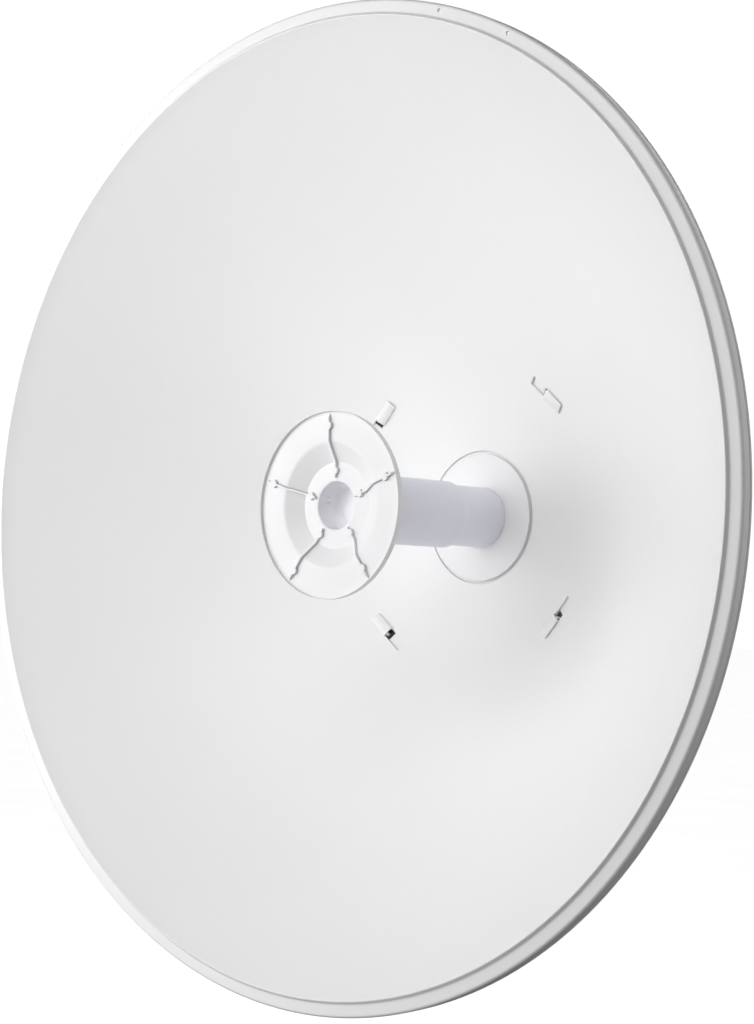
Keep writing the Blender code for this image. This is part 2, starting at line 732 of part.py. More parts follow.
def build_connectors():
    hex_front = -BASE_BACK - GAP
    thread_front = hex_front - CONNECTOR_HEX_LENGTH / 2
    end = hex_front - CONNECTOR_HEX_LENGTH - CONNECTOR_LENGTH
    profile = [
        (0.0, thread_front),
        (CONNECTOR_RADIUS, thread_front),
        (CONNECTOR_RADIUS, end),
        (CONNECTOR_BORE, end),
        (CONNECTOR_BORE, end + CONNECTOR_BORE_DEPTH),
        (0.0, end + CONNECTOR_BORE_DEPTH),
    ]
    for side, sign in (("left", -1.0), ("right", 1.0)):
        place = Matrix.Translation((sign * CONNECTOR_X, 0.0, 0.0))
        body = turned(f"connector_thread_{side}", profile, BOLT_SEGMENTS, place @ DISH)
        nut = rod(
            f"rf_connector_{side}", CONNECTOR_HEX, (sign * CONNECTOR_X, CREST_Y - hex_front, 0),
            (sign * CONNECTOR_X, CREST_Y - hex_front + CONNECTOR_HEX_LENGTH, 0), HEX, CONNECTOR_METAL,
        )
        boolean(nut, body, "UNION")


build_reflector()
build_latch_hooks()
build_hub_cover()
build_feed_tubes()
build_feed_base()
build_subreflector()
build_subreflector_neck()
build_back_pan()
build_elevation_bracket()
build_mast_bracket()
build_pan_bolts()
build_side_bolts()
build_clamp()
build_connectors()
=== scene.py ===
"""Looks of a parabolic dish antenna, 0.65 m across, on its mast bracket.

The dish looks along -Y, and the origin is on the face that lies against the
mast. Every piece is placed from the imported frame, in metres.
"""

from __future__ import annotations

import logging
import math
import sys
from dataclasses import dataclass, field
from enum import Enum
from typing import Iterable, Sequence

import bpy
from mathutils import Matrix, Vector


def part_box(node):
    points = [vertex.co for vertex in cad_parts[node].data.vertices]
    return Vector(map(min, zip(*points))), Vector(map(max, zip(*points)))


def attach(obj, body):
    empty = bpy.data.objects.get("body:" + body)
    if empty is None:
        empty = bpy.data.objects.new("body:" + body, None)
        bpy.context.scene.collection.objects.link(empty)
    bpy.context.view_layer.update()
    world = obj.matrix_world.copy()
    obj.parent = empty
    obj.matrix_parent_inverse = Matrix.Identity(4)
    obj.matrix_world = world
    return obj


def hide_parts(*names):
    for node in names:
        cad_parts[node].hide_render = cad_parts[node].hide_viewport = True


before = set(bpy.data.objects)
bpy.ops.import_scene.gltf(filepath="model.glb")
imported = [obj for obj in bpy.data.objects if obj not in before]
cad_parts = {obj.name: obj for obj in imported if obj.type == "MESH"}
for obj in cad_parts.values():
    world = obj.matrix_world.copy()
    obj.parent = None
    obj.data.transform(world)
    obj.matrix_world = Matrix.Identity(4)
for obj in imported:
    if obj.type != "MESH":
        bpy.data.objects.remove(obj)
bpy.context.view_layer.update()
BODY = "root"
MM = 0.001
WELD = 0.001 * MM
SEAT = 0.3 * MM
SLIP = 0.1 * MM
ACROSS = Vector((0.1, 0.0, 0.0))
THROUGH = Vector((0.0, 8.0 * MM, 0.0))
ORIGIN = Vector((0.0, 0.0, 0.0))
LOG = logging.getLogger("dish_antenna")

Point = tuple[float, float]
Tone = tuple[float, float, float]
Object = bpy.types.Object
Socket = bpy.types.NodeSocket


class Operation(Enum):
    """How one solid is combined with another."""

    UNION = "UNION"
    CUT = "DIFFERENCE"
    COMMON = "INTERSECT"


class Side(Enum):
    """Left and right of the dish, seen from in front of it."""

    LEFT = -1.0
    RIGHT = 1.0


class Level(Enum):
    """Above and below the dish's axis."""

    UPPER = 1.0
    LOWER = -1.0


def node_box(node: str) -> tuple[Vector, Vector]:
    """Lowest and highest corners of a CAD node.

    Args:
        node: the node's name.

    Returns:
        The two corners, in metres.
    """
    low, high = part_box(node)
    return Vector(low), Vector(high)


def node_centre(node: str) -> Vector:
    """Middle of a CAD node's box."""
    low, high = node_box(node)
    return (low + high) / 2


def node_radius(node: str) -> float:
    """Outer radius of a node that is turned about the dish's axis."""
    low, high = node_box(node)
    return (high.x - low.x) / 2


def nodes_named(start: str) -> list[str]:
    """Names of the CAD nodes that start with some words, in order."""
    return sorted(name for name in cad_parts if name.startswith(start))


def arc(centre: Point, radius: float, start: float, end: float, steps: int) -> list[Point]:
    """Points on a circular arc of a profile.

    Args:
        centre: the arc's centre, as (radius, y).
        radius: the arc's radius.
        start: first angle in degrees, from the outward direction towards the back.
        end: last angle in degrees.
        steps: the number of stretches.

    Returns:
        The points, both ends included.
    """
    angles = [math.radians(angle) for angle in spread(start, end, steps)]
    return [(centre[0] + radius * math.cos(a), centre[1] + radius * math.sin(a)) for a in angles]


def spread(start: float, end: float, steps: int) -> list[float]:
    """Evenly spaced values, both ends included."""
    return [start + (end - start) * index / steps for index in range(steps + 1)]


def direction(azimuth: float, elevation: float) -> Vector:
    """Direction from the dish to a place round it.

    Args:
        azimuth: degrees from straight in front of the dish towards +X.
        elevation: degrees above the horizon.

    Returns:
        The direction, one metre long.
    """
    turn, lift = math.radians(azimuth), math.radians(elevation)
    return Vector((math.sin(turn) * math.cos(lift), -math.cos(turn) * math.cos(lift), math.sin(lift)))


def edit_all() -> None:
    """Go into edit mode with all of the active piece selected."""
    bpy.ops.object.mode_set(mode="EDIT")
    bpy.ops.mesh.select_all(action="SELECT")


def edit_none() -> None:
    """Go into edit mode with nothing of the active piece selected."""
    bpy.ops.object.mode_set(mode="EDIT")
    bpy.ops.mesh.select_all(action="DESELECT")


def leave_edit() -> None:
    """Go back to object mode."""
    bpy.ops.object.mode_set(mode="OBJECT")


def clear_selection() -> None:
    """Deselect every object."""
    bpy.ops.object.select_all(action="DESELECT")


def make_active(piece: Object) -> None:
    """Select one object alone and make it the active one."""
    clear_selection()
    piece.select_set(True)
    bpy.context.view_layer.objects.active = piece


def rename(piece: Object, name: str) -> Object:
    """Give an object and its mesh one name."""
    piece.name = name
    piece.data.name = name
    return piece


def fix_place(piece: Object) -> Object:
    """Put an object's place, turn and scale into its mesh."""
    make_active(piece)
    bpy.ops.object.transform_apply(location=True, rotation=True, scale=True)
    return piece


def move_to(piece: Object, frame: Matrix) -> Object:
    """Carry a piece that was made at the origin to a local frame."""
    piece.matrix_world = frame
    return fix_place(piece)


def copy_to(piece: Object, frame: Matrix) -> Object:
    """Copy a piece, mesh and all, from the origin to a local frame."""
    make_active(piece)
    bpy.ops.object.duplicate(linked=False)
    return move_to(bpy.context.object, frame)


def discard(piece: Object) -> None:
    """Delete an object and its mesh."""
    mesh = piece.data
    bpy.data.objects.remove(piece, do_unlink=True)
    bpy.data.meshes.remove(mesh)


def lathe(name: str, profile: Sequence[Point], steps: int, closed: bool = True) -> Object:
    """Turn a profile about the dish's axis.

    Args:
        name: the piece's name.
        profile: points as (radius, y), in metres.
        steps: the number of facets round the piece.
        closed: whether the profile's last point joins its first.

    Returns:
        The turned mesh, its normals outward.
    """
    clear_selection()
    bpy.ops.mesh.primitive_plane_add(size=MM, location=(0.0, 0.0, 0.0))
    piece = rename(bpy.context.object, name)
    edit_all()
    bpy.ops.mesh.merge(type="CENTER")
    previous = Vector((profile[0][0], profile[0][1], 0.0))
    bpy.ops.transform.translate(value=previous)
    for radius, y in profile[1:]:
        here = Vector((radius, y, 0.0))
        bpy.ops.mesh.extrude_region_move(TRANSFORM_OT_translate={"value": here - previous})
        previous = here
    if closed:
        bpy.ops.mesh.select_all(action="DESELECT")
        leave_edit()
        ends = [Vector((radius, y, 0.0)) for radius, y in (profile[0], profile[-1])]
        for vertex in piece.data.vertices:
            vertex.select = any((vertex.co - end).length < WELD for end in ends)
        bpy.ops.object.mode_set(mode="EDIT")
        bpy.ops.mesh.edge_face_add()
    bpy.ops.mesh.select_all(action="SELECT")
    bpy.ops.mesh.spin(steps=steps, angle=math.tau, center=(0.0, 0.0, 0.0), axis=(0.0, 1.0, 0.0))
    bpy.ops.mesh.select_all(action="SELECT")
    bpy.ops.mesh.remove_doubles(threshold=WELD)
    bpy.ops.mesh.delete_loose()
    bpy.ops.mesh.select_all(action="SELECT")
    bpy.ops.mesh.normals_make_consistent(inside=False)
    leave_edit()
    return piece


def block(name: str, low: Vector, high: Vector) -> Object:
    """A box between two corners.

    Args:
        name: the piece's name.
        low: the lowest corner.
        high: the highest corner.

    Returns:
        The box, its place in its mesh.
    """
    clear_selection()
    bpy.ops.mesh.primitive_cube_add(size=1.0, location=(low + high) / 2, scale=high - low)
    return fix_place(rename(bpy.context.object, name))


def rod(name: str, radius: float, start: Vector, end: Vector, sides: int, tip: float | None = None) -> Object:
    """A straight cylinder, cone or prism between two points.

    Args:
        name: the piece's name.
        radius: radius at the start.
        start: centre of the first end.
        end: centre of the last end.
        sides: the number of facets.
        tip: radius at the end, where it differs.

    Returns:
        The rod, its place in its mesh.
    """
    run = end - start
    clear_selection()
    bpy.ops.mesh.primitive_cone_add(
        vertices=sides,
        radius1=radius,
        radius2=radius if tip is None else tip,
        depth=run.length,
        location=(start + end) / 2,
        rotation=run.to_track_quat("Z", "Y").to_euler(),
    )
    return fix_place(rename(bpy.context.object, name))


def drill(radius: float, place: Vector, along: Vector, sides: int = 40) -> Object:
    """A round cutter through a place, as long again on its other side.

    Args:
        radius: the hole's radius.
        place: the middle of the cutter.
        along: half its length.
        sides: the number of facets.

    Returns:
        The cutter.
    """
    return rod("drill", radius, place - along, place + along, sides)


def extend(piece: Object, runs: Iterable[Vector], way: float = 1.0) -> Object:
    """Extrude the face at a bar's end again and again.

    Args:
        piece: the bar, which lies along X.
        runs: the move of each extrusion.
        way: +1 for the end at the greatest X, -1 for the other.

    Returns:
        The longer bar.
    """
    for run in runs:
        make_active(piece)
        edit_none()
        leave_edit()
        reach = max(way * vertex.co.x for vertex in piece.data.vertices)
        for polygon in piece.data.polygons:
            polygon.select = way * polygon.center.x > reach - WELD
        bpy.ops.object.mode_set(mode="EDIT")
        bpy.ops.mesh.extrude_region_move(TRANSFORM_OT_translate={"value": run})
        leave_edit()
    return piece


def combine(piece: Object, other: Object, operation: Operation) -> Object:
    """Join, cut or intersect a piece with another solid, and delete the other.

    Args:
        piece: the piece that stays.
        other: the solid that is used up.
        operation: how they combine.

    Returns:
        The changed piece.
    """
    make_active(piece)
    step = piece.modifiers.new("combine", "BOOLEAN")
    step.operation = operation.value
    step.solver = "MANIFOLD"
    step.object = other
    bpy.ops.object.modifier_apply(modifier=step.name)
    discard(other)
    return piece


def join_all(pieces: Sequence[Object], name: str) -> Object:
    """Make one object of several that don't touch."""
    clear_selection()
    for piece in pieces:
        piece.select_set(True)
    bpy.context.view_layer.objects.active = pieces[0]
    bpy.ops.object.join()
    return rename(bpy.context.object, name)


def repeat(piece: Object, frames: Iterable[Matrix]) -> Object:
    """Copy a piece to several local frames, as one object, and delete the first.

    Args:
        piece: the piece, made at the origin.
        frames: the local frame of each copy.

    Returns:
        The joined copies.
    """
    copies = [copy_to(piece, frame) for frame in frames]
    name = piece.name
    discard(piece)
    return join_all(copies, name)


def round_edges(piece: Object, width: float, segments: int, angle: float = 30.0) -> Object:
    """Round every edge sharper than an angle.

    Args:
        piece: the piece to round.
        width: the rounding's width.
        segments: facets across the rounding.
        angle: the least angle of an edge that is rounded, in degrees.

    Returns:
        The changed piece.
    """
    make_active(piece)
    step = piece.modifiers.new("round", "BEVEL")
    step.width = width
    step.segments = segments
    step.limit_method = "ANGLE"
    step.angle_limit = math.radians(angle)
    step.use_clamp_overlap = True
    bpy.ops.object.modifier_apply(modifier=step.name)
    return piece


def slice_off(piece: Object, place: Vector, normal: Vector) -> Object:
    """Cut away what lies past a plane and close the cut.

    Args:
        piece: the piece to cut, whose section is one outline.
        place: a point on the plane.
        normal: the direction of the side that goes.

    Returns:
        The changed piece.
    """
    make_active(piece)
    edit_all()
    bpy.ops.mesh.bisect(plane_co=place, plane_no=normal, use_fill=True, clear_outer=True)
    leave_edit()
    return piece


def smooth(piece: Object, angle: float = 35.0) -> Object:
    """Shade a piece smooth, except across edges sharper than an angle."""
    make_active(piece)
    bpy.ops.object.shade_smooth_by_angle(angle=math.radians(angle))
    return piece


class NodeSheet:
    """The node tree of one material, with the links that every finish uses."""

    def __init__(self, name: str) -> None:
        """Start a material with an empty Principled shader."""
        self.material = bpy.data.materials.new(name)
        self.material.use_nodes = True
        self.tree = self.material.node_tree
        self.shader = self.tree.nodes["Principled BSDF"]
        self.place = self.tree.nodes.new("ShaderNodeTexCoord").outputs["Object"]

    def link(self, source: Socket, target: Socket) -> None:
        """Join two sockets."""
        self.tree.links.new(source, target)

    def fix(self, name: str, value: float) -> None:
        """Give one of the shader's inputs a constant value."""
        self.shader.inputs[name].default_value = value

    def noise(self, scale: float, detail: float, stretch: Sequence[float] = (1.0, 1.0, 1.0)) -> Socket:
        """Noise on object coordinates.

        Args:
            scale: features per metre.
            detail: the number of finer layers.
            stretch: the coordinates' scale along X, Y and Z.

        Returns:
            The noise's value.
        """
        mapping = self.tree.nodes.new("ShaderNodeMapping")
        mapping.inputs["Scale"].default_value = tuple(stretch)
        self.link(self.place, mapping.inputs["Vector"])
        texture = self.tree.nodes.new("ShaderNodeTexNoise")
        texture.inputs["Scale"].default_value = scale
        texture.inputs["Detail"].default_value = detail
        self.link(mapping.outputs["Vector"], texture.inputs["Vector"])
        return texture.outputs["Fac"]

    def between(self, value: Socket, low: float, high: float) -> Socket:
        """Map the middle half of a noise to a range.

        Args:
            value: the noise.
            low: the least result.
            high: the greatest result.

        Returns:
            The mapped value.
        """
        mapped = self.tree.nodes.new("ShaderNodeMapRange")
        mapped.inputs["From Min"].default_value = 0.25
        mapped.inputs["From Max"].default_value = 0.75
        mapped.inputs["To Min"].default_value = low
        mapped.inputs["To Max"].default_value = high
        self.link(value, mapped.inputs["Value"])
        return mapped.outputs["Result"]

    def roughen(self, value: Socket, low: float, high: float) -> None:
        """Vary the shader's roughness with a noise.

        Args:
            value: the noise.
            low: the least roughness.
            high: the greatest roughness.
        """
        self.link(self.between(value, low, high), self.shader.inputs["Roughness"])

    def tint(self, value: Socket, first: Sequence[float], second: Sequence[float]) -> None:
        """Colour the shader between two tones.

        Args:
            value: the noise that chooses the tone.
            first: colour where the noise is low.
            second: colour where it is high.
        """
        ramp = self.tree.nodes.new("ShaderNodeValToRGB")
        ramp.color_ramp.elements[0].position = 0.3
        ramp.color_ramp.elements[0].color = (*first, 1.0)
        ramp.color_ramp.elements[1].position = 0.7
        ramp.color_ramp.elements[1].color = (*second, 1.0)
        self.link(value, ramp.inputs["Fac"])
        self.link(ramp.outputs["Color"], self.shader.inputs["Base Color"])

    def bump(self, height: Socket, distance: float, strength: float) -> None:
        """Raise the surface by a height.

        Args:
            height: the height, 0 to 1.
            distance: what a height of 1 stands for, in metres.
            strength: the share of it that shows.
        """
        node = self.tree.nodes.new("ShaderNodeBump")
        node.inputs["Distance"].default_value = distance
        node.inputs["Strength"].default_value = strength
        self.link(height, node.inputs["Height"])
        self.link(node.outputs["Normal"], self.shader.inputs["Normal"])


@dataclass(frozen=True)
class PowderCoat:
    """Satin powder coat, with the faint orange peel of baked paint."""

    name: str
    light: Tone
    dark: Tone
    roughness: float = 0.42
    peel_per_metre: float = 700.0
    peel_height: float = 0.012 * MM
    cloud_per_metre: float = 5.0

    def build(self) -> bpy.types.Material:
        """Build the material."""
        sheet = NodeSheet(self.name)
        sheet.fix("Specular IOR Level", 0.45)
        sheet.tint(sheet.noise(self.cloud_per_metre, 3.0), self.dark, self.light)
        cloud = sheet.noise(self.cloud_per_metre * 12, 4.0)
        sheet.roughen(cloud, self.roughness - 0.04, self.roughness + 0.05)
        sheet.bump(sheet.noise(self.peel_per_metre, 2.0), self.peel_height, 0.6)
        return sheet.material


@dataclass(frozen=True)
class MouldedPlastic:
    """Injection-moulded plastic with a fine spark-eroded grain."""

    name: str
    light: Tone
    dark: Tone
    roughness: float = 0.45
    grain_per_metre: float = 2400.0
    grain_height: float = 0.01 * MM
    glow: float = 0.0

    def build(self) -> bpy.types.Material:
        """Build the material."""
        sheet = NodeSheet(self.name)
        sheet.fix("IOR", 1.48)
        sheet.fix("Subsurface Weight", self.glow)
        sheet.fix("Subsurface Scale", 2.0 * MM)
        sheet.tint(sheet.noise(24.0, 3.0), self.dark, self.light)
        sheet.roughen(sheet.noise(90.0, 3.0), self.roughness - 0.05, self.roughness + 0.06)
        sheet.bump(sheet.noise(self.grain_per_metre, 2.0), self.grain_height, 0.5)
        return sheet.material


@dataclass(frozen=True)
class PlatedMetal:
    """Plated metal with fine scratches drawn along one direction."""

    name: str
    light: Tone
    dark: Tone
    roughness: float = 0.32
    drawn: tuple[float, float, float] = (1.0, 0.12, 1.0)
    spangle_per_metre: float = 160.0

    def build(self) -> bpy.types.Material:
        """Build the material."""
        sheet = NodeSheet(self.name)
        sheet.fix("Metallic", 1.0)
        sheet.tint(sheet.noise(self.spangle_per_metre, 5.0), self.dark, self.light)
        scratches = sheet.noise(3200.0, 3.0, self.drawn)
        sheet.roughen(scratches, self.roughness - 0.08, self.roughness + 0.12)
        sheet.bump(scratches, 0.01 * MM, 0.4)
        return sheet.material


@dataclass(frozen=True)
class Finishes:
    """The finishes of the antenna, one material for each."""

    reflector: PowderCoat = PowderCoat("reflector_paint", (0.868, 0.870, 0.870), (0.850, 0.852, 0.853))
    bracket: PowderCoat = PowderCoat("bracket_paint", (0.80, 0.805, 0.81), (0.77, 0.776, 0.782), 0.46)
    disc: MouldedPlastic = MouldedPlastic(
        "disc_plastic", (0.84, 0.84, 0.85), (0.825, 0.825, 0.838), 0.4, glow=0.08
    )
    feed: MouldedPlastic = MouldedPlastic(
        "feed_plastic", (0.80, 0.795, 0.875), (0.78, 0.775, 0.855), 0.42
    )
    # The feed's lavender plastic in a lighter tone: painted light that brightens the cup deep in the throat's
    # shade.
    throat: MouldedPlastic = MouldedPlastic(
        "throat_plastic_lightened", (0.905, 0.902, 0.930), (0.885, 0.882, 0.912), 0.45
    )
    # Near-black finish of the latch pads: painted shade for the hollows under the louvers.
    shade_black: MouldedPlastic = MouldedPlastic(
        "painted_shade_pad", (0.028, 0.028, 0.030), (0.020, 0.020, 0.022), 0.6
    )
    insulator: MouldedPlastic = MouldedPlastic(
        "insulator_plastic", (0.86, 0.86, 0.84), (0.82, 0.82, 0.80), 0.35
    )
    zinc: PlatedMetal = PlatedMetal("zinc_plate", (0.66, 0.665, 0.67), (0.52, 0.53, 0.545))
    jaw: PlatedMetal = PlatedMetal(
        "jaw_zinc", (0.60, 0.61, 0.62), (0.46, 0.47, 0.49), 0.4, (0.15, 1.0, 1.0)
    )
    gold: PlatedMetal = PlatedMetal("gold_plate", (0.90, 0.68, 0.30), (0.80, 0.58, 0.24), 0.22)

    def build(self) -> dict[str, bpy.types.Material]:
        """Build every finish.

        Returns:
            The materials, by the names of the fields.
        """
        return {name: getattr(self, name).build() for name in self.__dataclass_fields__}


@dataclass
class Bowl:
    """The reflector's curve, as places in the world."""

    edge_y: float
    edge_radius: float = 314.2 * MM
    depth: float = 170.5 * MM
    sheet: float = 2.0 * MM

    @property
    def four_focal(self) -> float:
        """Four times the focal length."""
        return self.edge_radius ** 2 / self.depth

    def y(self, radius: float) -> float:
        """World Y of the sheet's front at a radius."""
        return self.edge_y + self.depth - radius ** 2 / self.four_focal

    def slope(self, radius: float) -> float:
        """How fast the sheet comes forward as the radius grows."""
        return 2 * radius / self.four_focal

    def offset(self, radius: float, distance: float) -> Point:
        """A point square off the sheet's front, towards the back.

        Args:
            radius: radius of the point on the front.
            distance: how far behind it.

        Returns:
            The point as (radius, y).
        """
        slope = self.slope(radius)
        share = distance / math.hypot(1.0, slope)
        return radius + slope * share, self.y(radius) + share

    def frame(self, angle: float, radius: float) -> Matrix:
        """Local frame on the sheet: X round the dish, Y out of the sheet, Z outward.

        Args:
            angle: degrees from the world's X towards Z.
            radius: distance from the axis.

        Returns:
            The frame's matrix.
        """
        turn = math.radians(angle)
        tilt = math.atan(self.slope(radius))
        outward = Vector((math.cos(turn), 0.0, math.sin(turn)))
        around = Vector((-math.sin(turn), 0.0, math.cos(turn)))
        normal = Vector((0.0, -math.cos(tilt), 0.0)) - outward * math.sin(tilt)
        along = around.cross(normal)
        place = outward * radius + Vector((0.0, self.y(radius), 0.0))
        axes = Matrix((around, normal, along)).transposed().to_4x4()
        return Matrix.Translation(place) @ axes


@dataclass
class Assembly:
    """A group of pieces that are made and dressed together."""

    finishes: dict[str, bpy.types.Material]
    bowl: Bowl
    made: list[Object] = field(default_factory=list)

    def dress(self, piece: Object, finish: str, node: str = "", slot: str = "") -> Object:
        """Give a finished piece its material, hang it on the body's empty and hide the CAD node that it
        stands for.

        Args:
            piece: the finished mesh.
            finish: the name of its finish.
            node: the CAD node that it stands for, if any.
            slot: the record's material slot, where no node gives it. Not used.

        Returns:
            The piece.
        """
        piece.data.materials.clear()
        piece.data.materials.append(self.finishes[finish])
        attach(piece, BODY)
        if node:
            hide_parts(node)
        self.made.append(piece)
        LOG.info("%s: %d faces", piece.name, len(piece.data.polygons))
        return piece

    def dress_copies(
        self, model: Object, finish: str, places: Iterable[tuple[str, Matrix, str]], slot: str = ""
    ) -> None:
        """Copy a model to its places, dress each copy and delete the model.

        Args:
            model: the piece, shaded and in its local frame.
            finish: the name of its finish.
            places: each copy's name, its frame, and the CAD node that it stands for.
            slot: the record's material slot, where no node gives it.
        """
        for name, frame, node in places:
            self.dress(rename(copy_to(model, frame), name), finish, node, slot)
        discard(model)

    def build(self) -> None:
        """Build every piece of the group."""
        raise NotImplementedError


@dataclass
class Reflector(Assembly):
    """The pressed dish with its stepped rim, slots, louvers and rim holes."""

    steps: int = 256
    rings: int = 44
    hole_radius: float = 24.0 * MM
    step_depth: float = 2.1 * MM
    crest: float = 0.75 * MM
    cove: float = 1.5 * MM
    flange_start: float = 316.9 * MM
    corner: float = 2.2 * MM
    lip_length: float = 10.3 * MM
    bead: float = 1.45 * MM
    latch_count: int = 4
    latch_angle: float = 51.5
    latch_radius: float = 106.0 * MM
    slot_length: float = 16.0 * MM
    slot_width: float = 7.0 * MM
    louver_length: float = 16.4 * MM
    louver_half: float = 3.9 * MM
    louver_crown: float = 9.0 * MM
    louver_height: float = 2.4 * MM
    louver_sheet: float = 0.8 * MM
    louver_round: float = 0.35 * MM
    louver_sides: int = 160
    slit_height: float = 0.75 * MM
    slit_tilt: float = 1.6
    slit_inside: float = 1.5 * MM
    slit_sill: float = 0.05 * MM
    rim_hole_radius: float = 1.4 * MM
    rim_hole_circle: float = 320.8 * MM
    rim_hole_angles: tuple[float, float] = (74.6, 63.9)
    hub_groove: float = 2.2 * MM
    hub_groove_depth: float = 1.7 * MM

    def latch_frames(self) -> list[Matrix]:
        """Local frames of the four latches, at the mouths of the louvers."""
        angles = (self.latch_angle + index * 360.0 / self.latch_count for index in range(self.latch_count))
        return [self.bowl.frame(angle, self.latch_radius) for angle in angles]

    def front_profile(self) -> list[Point]:
        """The painted front, from the middle hole to the rolled edge."""
        bowl = self.bowl
        y = bowl.edge_y
        edge = bowl.edge_radius
        flange_y = y + self.step_depth
        rim = node_radius("reflector")
        line = self.hub_line()
        points = [(r, bowl.y(r)) for r in spread(self.hole_radius, line[0][0], 4)[:-1]]
        points += line
        points += [(r, bowl.y(r)) for r in spread(line[-1][0], edge - 0.9 * MM, self.rings)[1:]]
        points += arc((edge + 0.15 * MM, y + self.crest), self.crest, 222.0, 350.0, 9)
        points += arc((self.flange_start, flange_y - self.cove), self.cove, 170.0, 90.0, 8)
        points += arc((rim - self.corner, flange_y + self.corner), self.corner, 270.0, 360.0, 8)
        bead_y = flange_y + self.lip_length - self.bead
        points.append((rim - 0.35 * MM, bead_y - self.bead - 0.5 * MM))
        points.append((rim - 0.85 * MM, bead_y - self.bead - 0.1 * MM))
        points += arc((rim - 0.2 * MM - self.bead, bead_y), self.bead, -70.0, 90.0, 10)
        return points

    def back_profile(self) -> list[Point]:
        """The back, from inside the rolled edge to the middle hole."""
        bowl = self.bowl
        rim = node_radius("reflector")
        flange_y = bowl.edge_y + self.step_depth
        inside = rim - bowl.sheet
        end_y = flange_y + self.lip_length
        points = [(inside - self.bead, end_y - 0.4 * MM), (inside - 0.4 * MM, end_y - 2 * self.bead)]
        points += [(inside, flange_y + bowl.sheet + MM), (inside - MM, flange_y + bowl.sheet)]
        points += [(self.flange_start - 0.8 * MM, flange_y + bowl.sheet)]
        points += [(bowl.edge_radius - 0.2 * MM, bowl.edge_y + 3.3 * MM)]
        for radius in spread(bowl.edge_radius - 2.5 * MM, self.hole_radius, self.rings):
            points.append(bowl.offset(radius, bowl.sheet))
        return points

    def louver(self, shrink: float, reach: float) -> Object:
        """An arched bump along local X, open at its mouth.

        Args:
            shrink: how much smaller than the outer bump it is all round.
            reach: how far past the mouth it runs.

        Returns:
            The bump, at the origin of its local frame.
        """
        radius = self.louver_crown - shrink
        middle = self.louver_height - self.louver_crown
        far = shrink - self.louver_length
        past = reach + 4.0 * MM
        half = self.louver_half - shrink
        start, end = Vector((far, middle, 0.0)), Vector((past, middle, 0.0))
        bump = rod("louver", radius, start, end, self.louver_sides)
        walls = block("walls", Vector((far - MM, middle, -half)), Vector((past + MM, radius, half)))
        combine(bump, walls, Operation.COMMON)
        round_edges(bump, min(self.louver_round, self.louver_sheet - shrink + 0.1 * MM), 3)
        return slice_off(bump, Vector((reach, 0.0, 0.0)), Vector((1.0, 0.0, 0.0)))

    def slit(self) -> Object:
        """Cutter that frees a louver from the sheet along its outer side and its far end."""
        far = -self.louver_length - MM
        inside = self.slit_inside
        low, high = self.slit_sill, self.slit_sill + self.slit_height
        side = block("slit", Vector((far, low, inside)), Vector((-inside, high, self.louver_half + MM)))
        inner = Vector((far, low, -self.louver_half + 1.4 * MM))
        combine(side, block("end", inner, Vector((far + 3.0 * MM, high, 2.0 * MM))), Operation.UNION)
        return move_to(side, Matrix.Rotation(math.radians(-self.slit_tilt), 4, "Z"))

    def under_sheet(self) -> Object:
        """What lies behind the sheet's middle, where no louver may show."""
        bowl = self.bowl
        reach = 20.0 * MM
        radii = spread(self.latch_radius - reach, self.latch_radius + reach, 12)
        front = [bowl.offset(radius, bowl.sheet * 0.6) for radius in radii]
        back_y = bowl.y(radii[0]) + reach
        return lathe("under_sheet", front + [(radii[-1], back_y), (radii[0], back_y)], 96)

    def rim_holes(self) -> list[Object]:
        """Cutters of the two small holes in the flange."""
        circle = self.rim_hole_circle
        y = self.bowl.edge_y + self.step_depth
        cutters = []
        for turn in (math.radians(angle) for angle in self.rim_hole_angles):
            place = Vector((math.cos(turn) * circle, y, math.sin(turn) * circle))
            cutters.append(drill(self.rim_hole_radius, place, THROUGH, 24))
        return cutters

    def hub_line(self) -> list[Point]:
        """The narrow groove round the hub cover, across the sheet's front."""
        bowl = self.bowl
        inner = node_radius("hub_cover") - SLIP
        outer = inner + self.hub_groove
        floor = bowl.y(outer) + self.hub_groove_depth
        sides = [(inner + SLIP, floor), (outer - SLIP, floor)]
        return [(inner, bowl.y(inner)), *sides, (outer, bowl.y(outer))]

    def build(self) -> None:
        """Turn the dish, then press its louvers and punch its slots and holes."""
        dish = lathe("dish", self.front_profile() + self.back_profile(), self.steps)
        frames = self.latch_frames()
        louvers = repeat(self.louver(0.0, 0.0), frames)
        combine(louvers, self.under_sheet(), Operation.CUT)
        combine(dish, louvers, Operation.UNION)
        combine(dish, repeat(self.louver(self.louver_sheet, MM), frames), Operation.CUT)
        side = Vector((0.0, 0.0, self.slot_width / 2))
        along = Vector((self.slot_length, 0.0, 0.0))
        slot = block("slot", -THROUGH - side, along + THROUGH + side)
        combine(dish, join_all([repeat(slot, frames), *self.rim_holes()], "punches"), Operation.CUT)
        combine(dish, repeat(self.slit(), frames), Operation.CUT)
        self.dress(smooth(dish, 28.0), "reflector", "reflector")


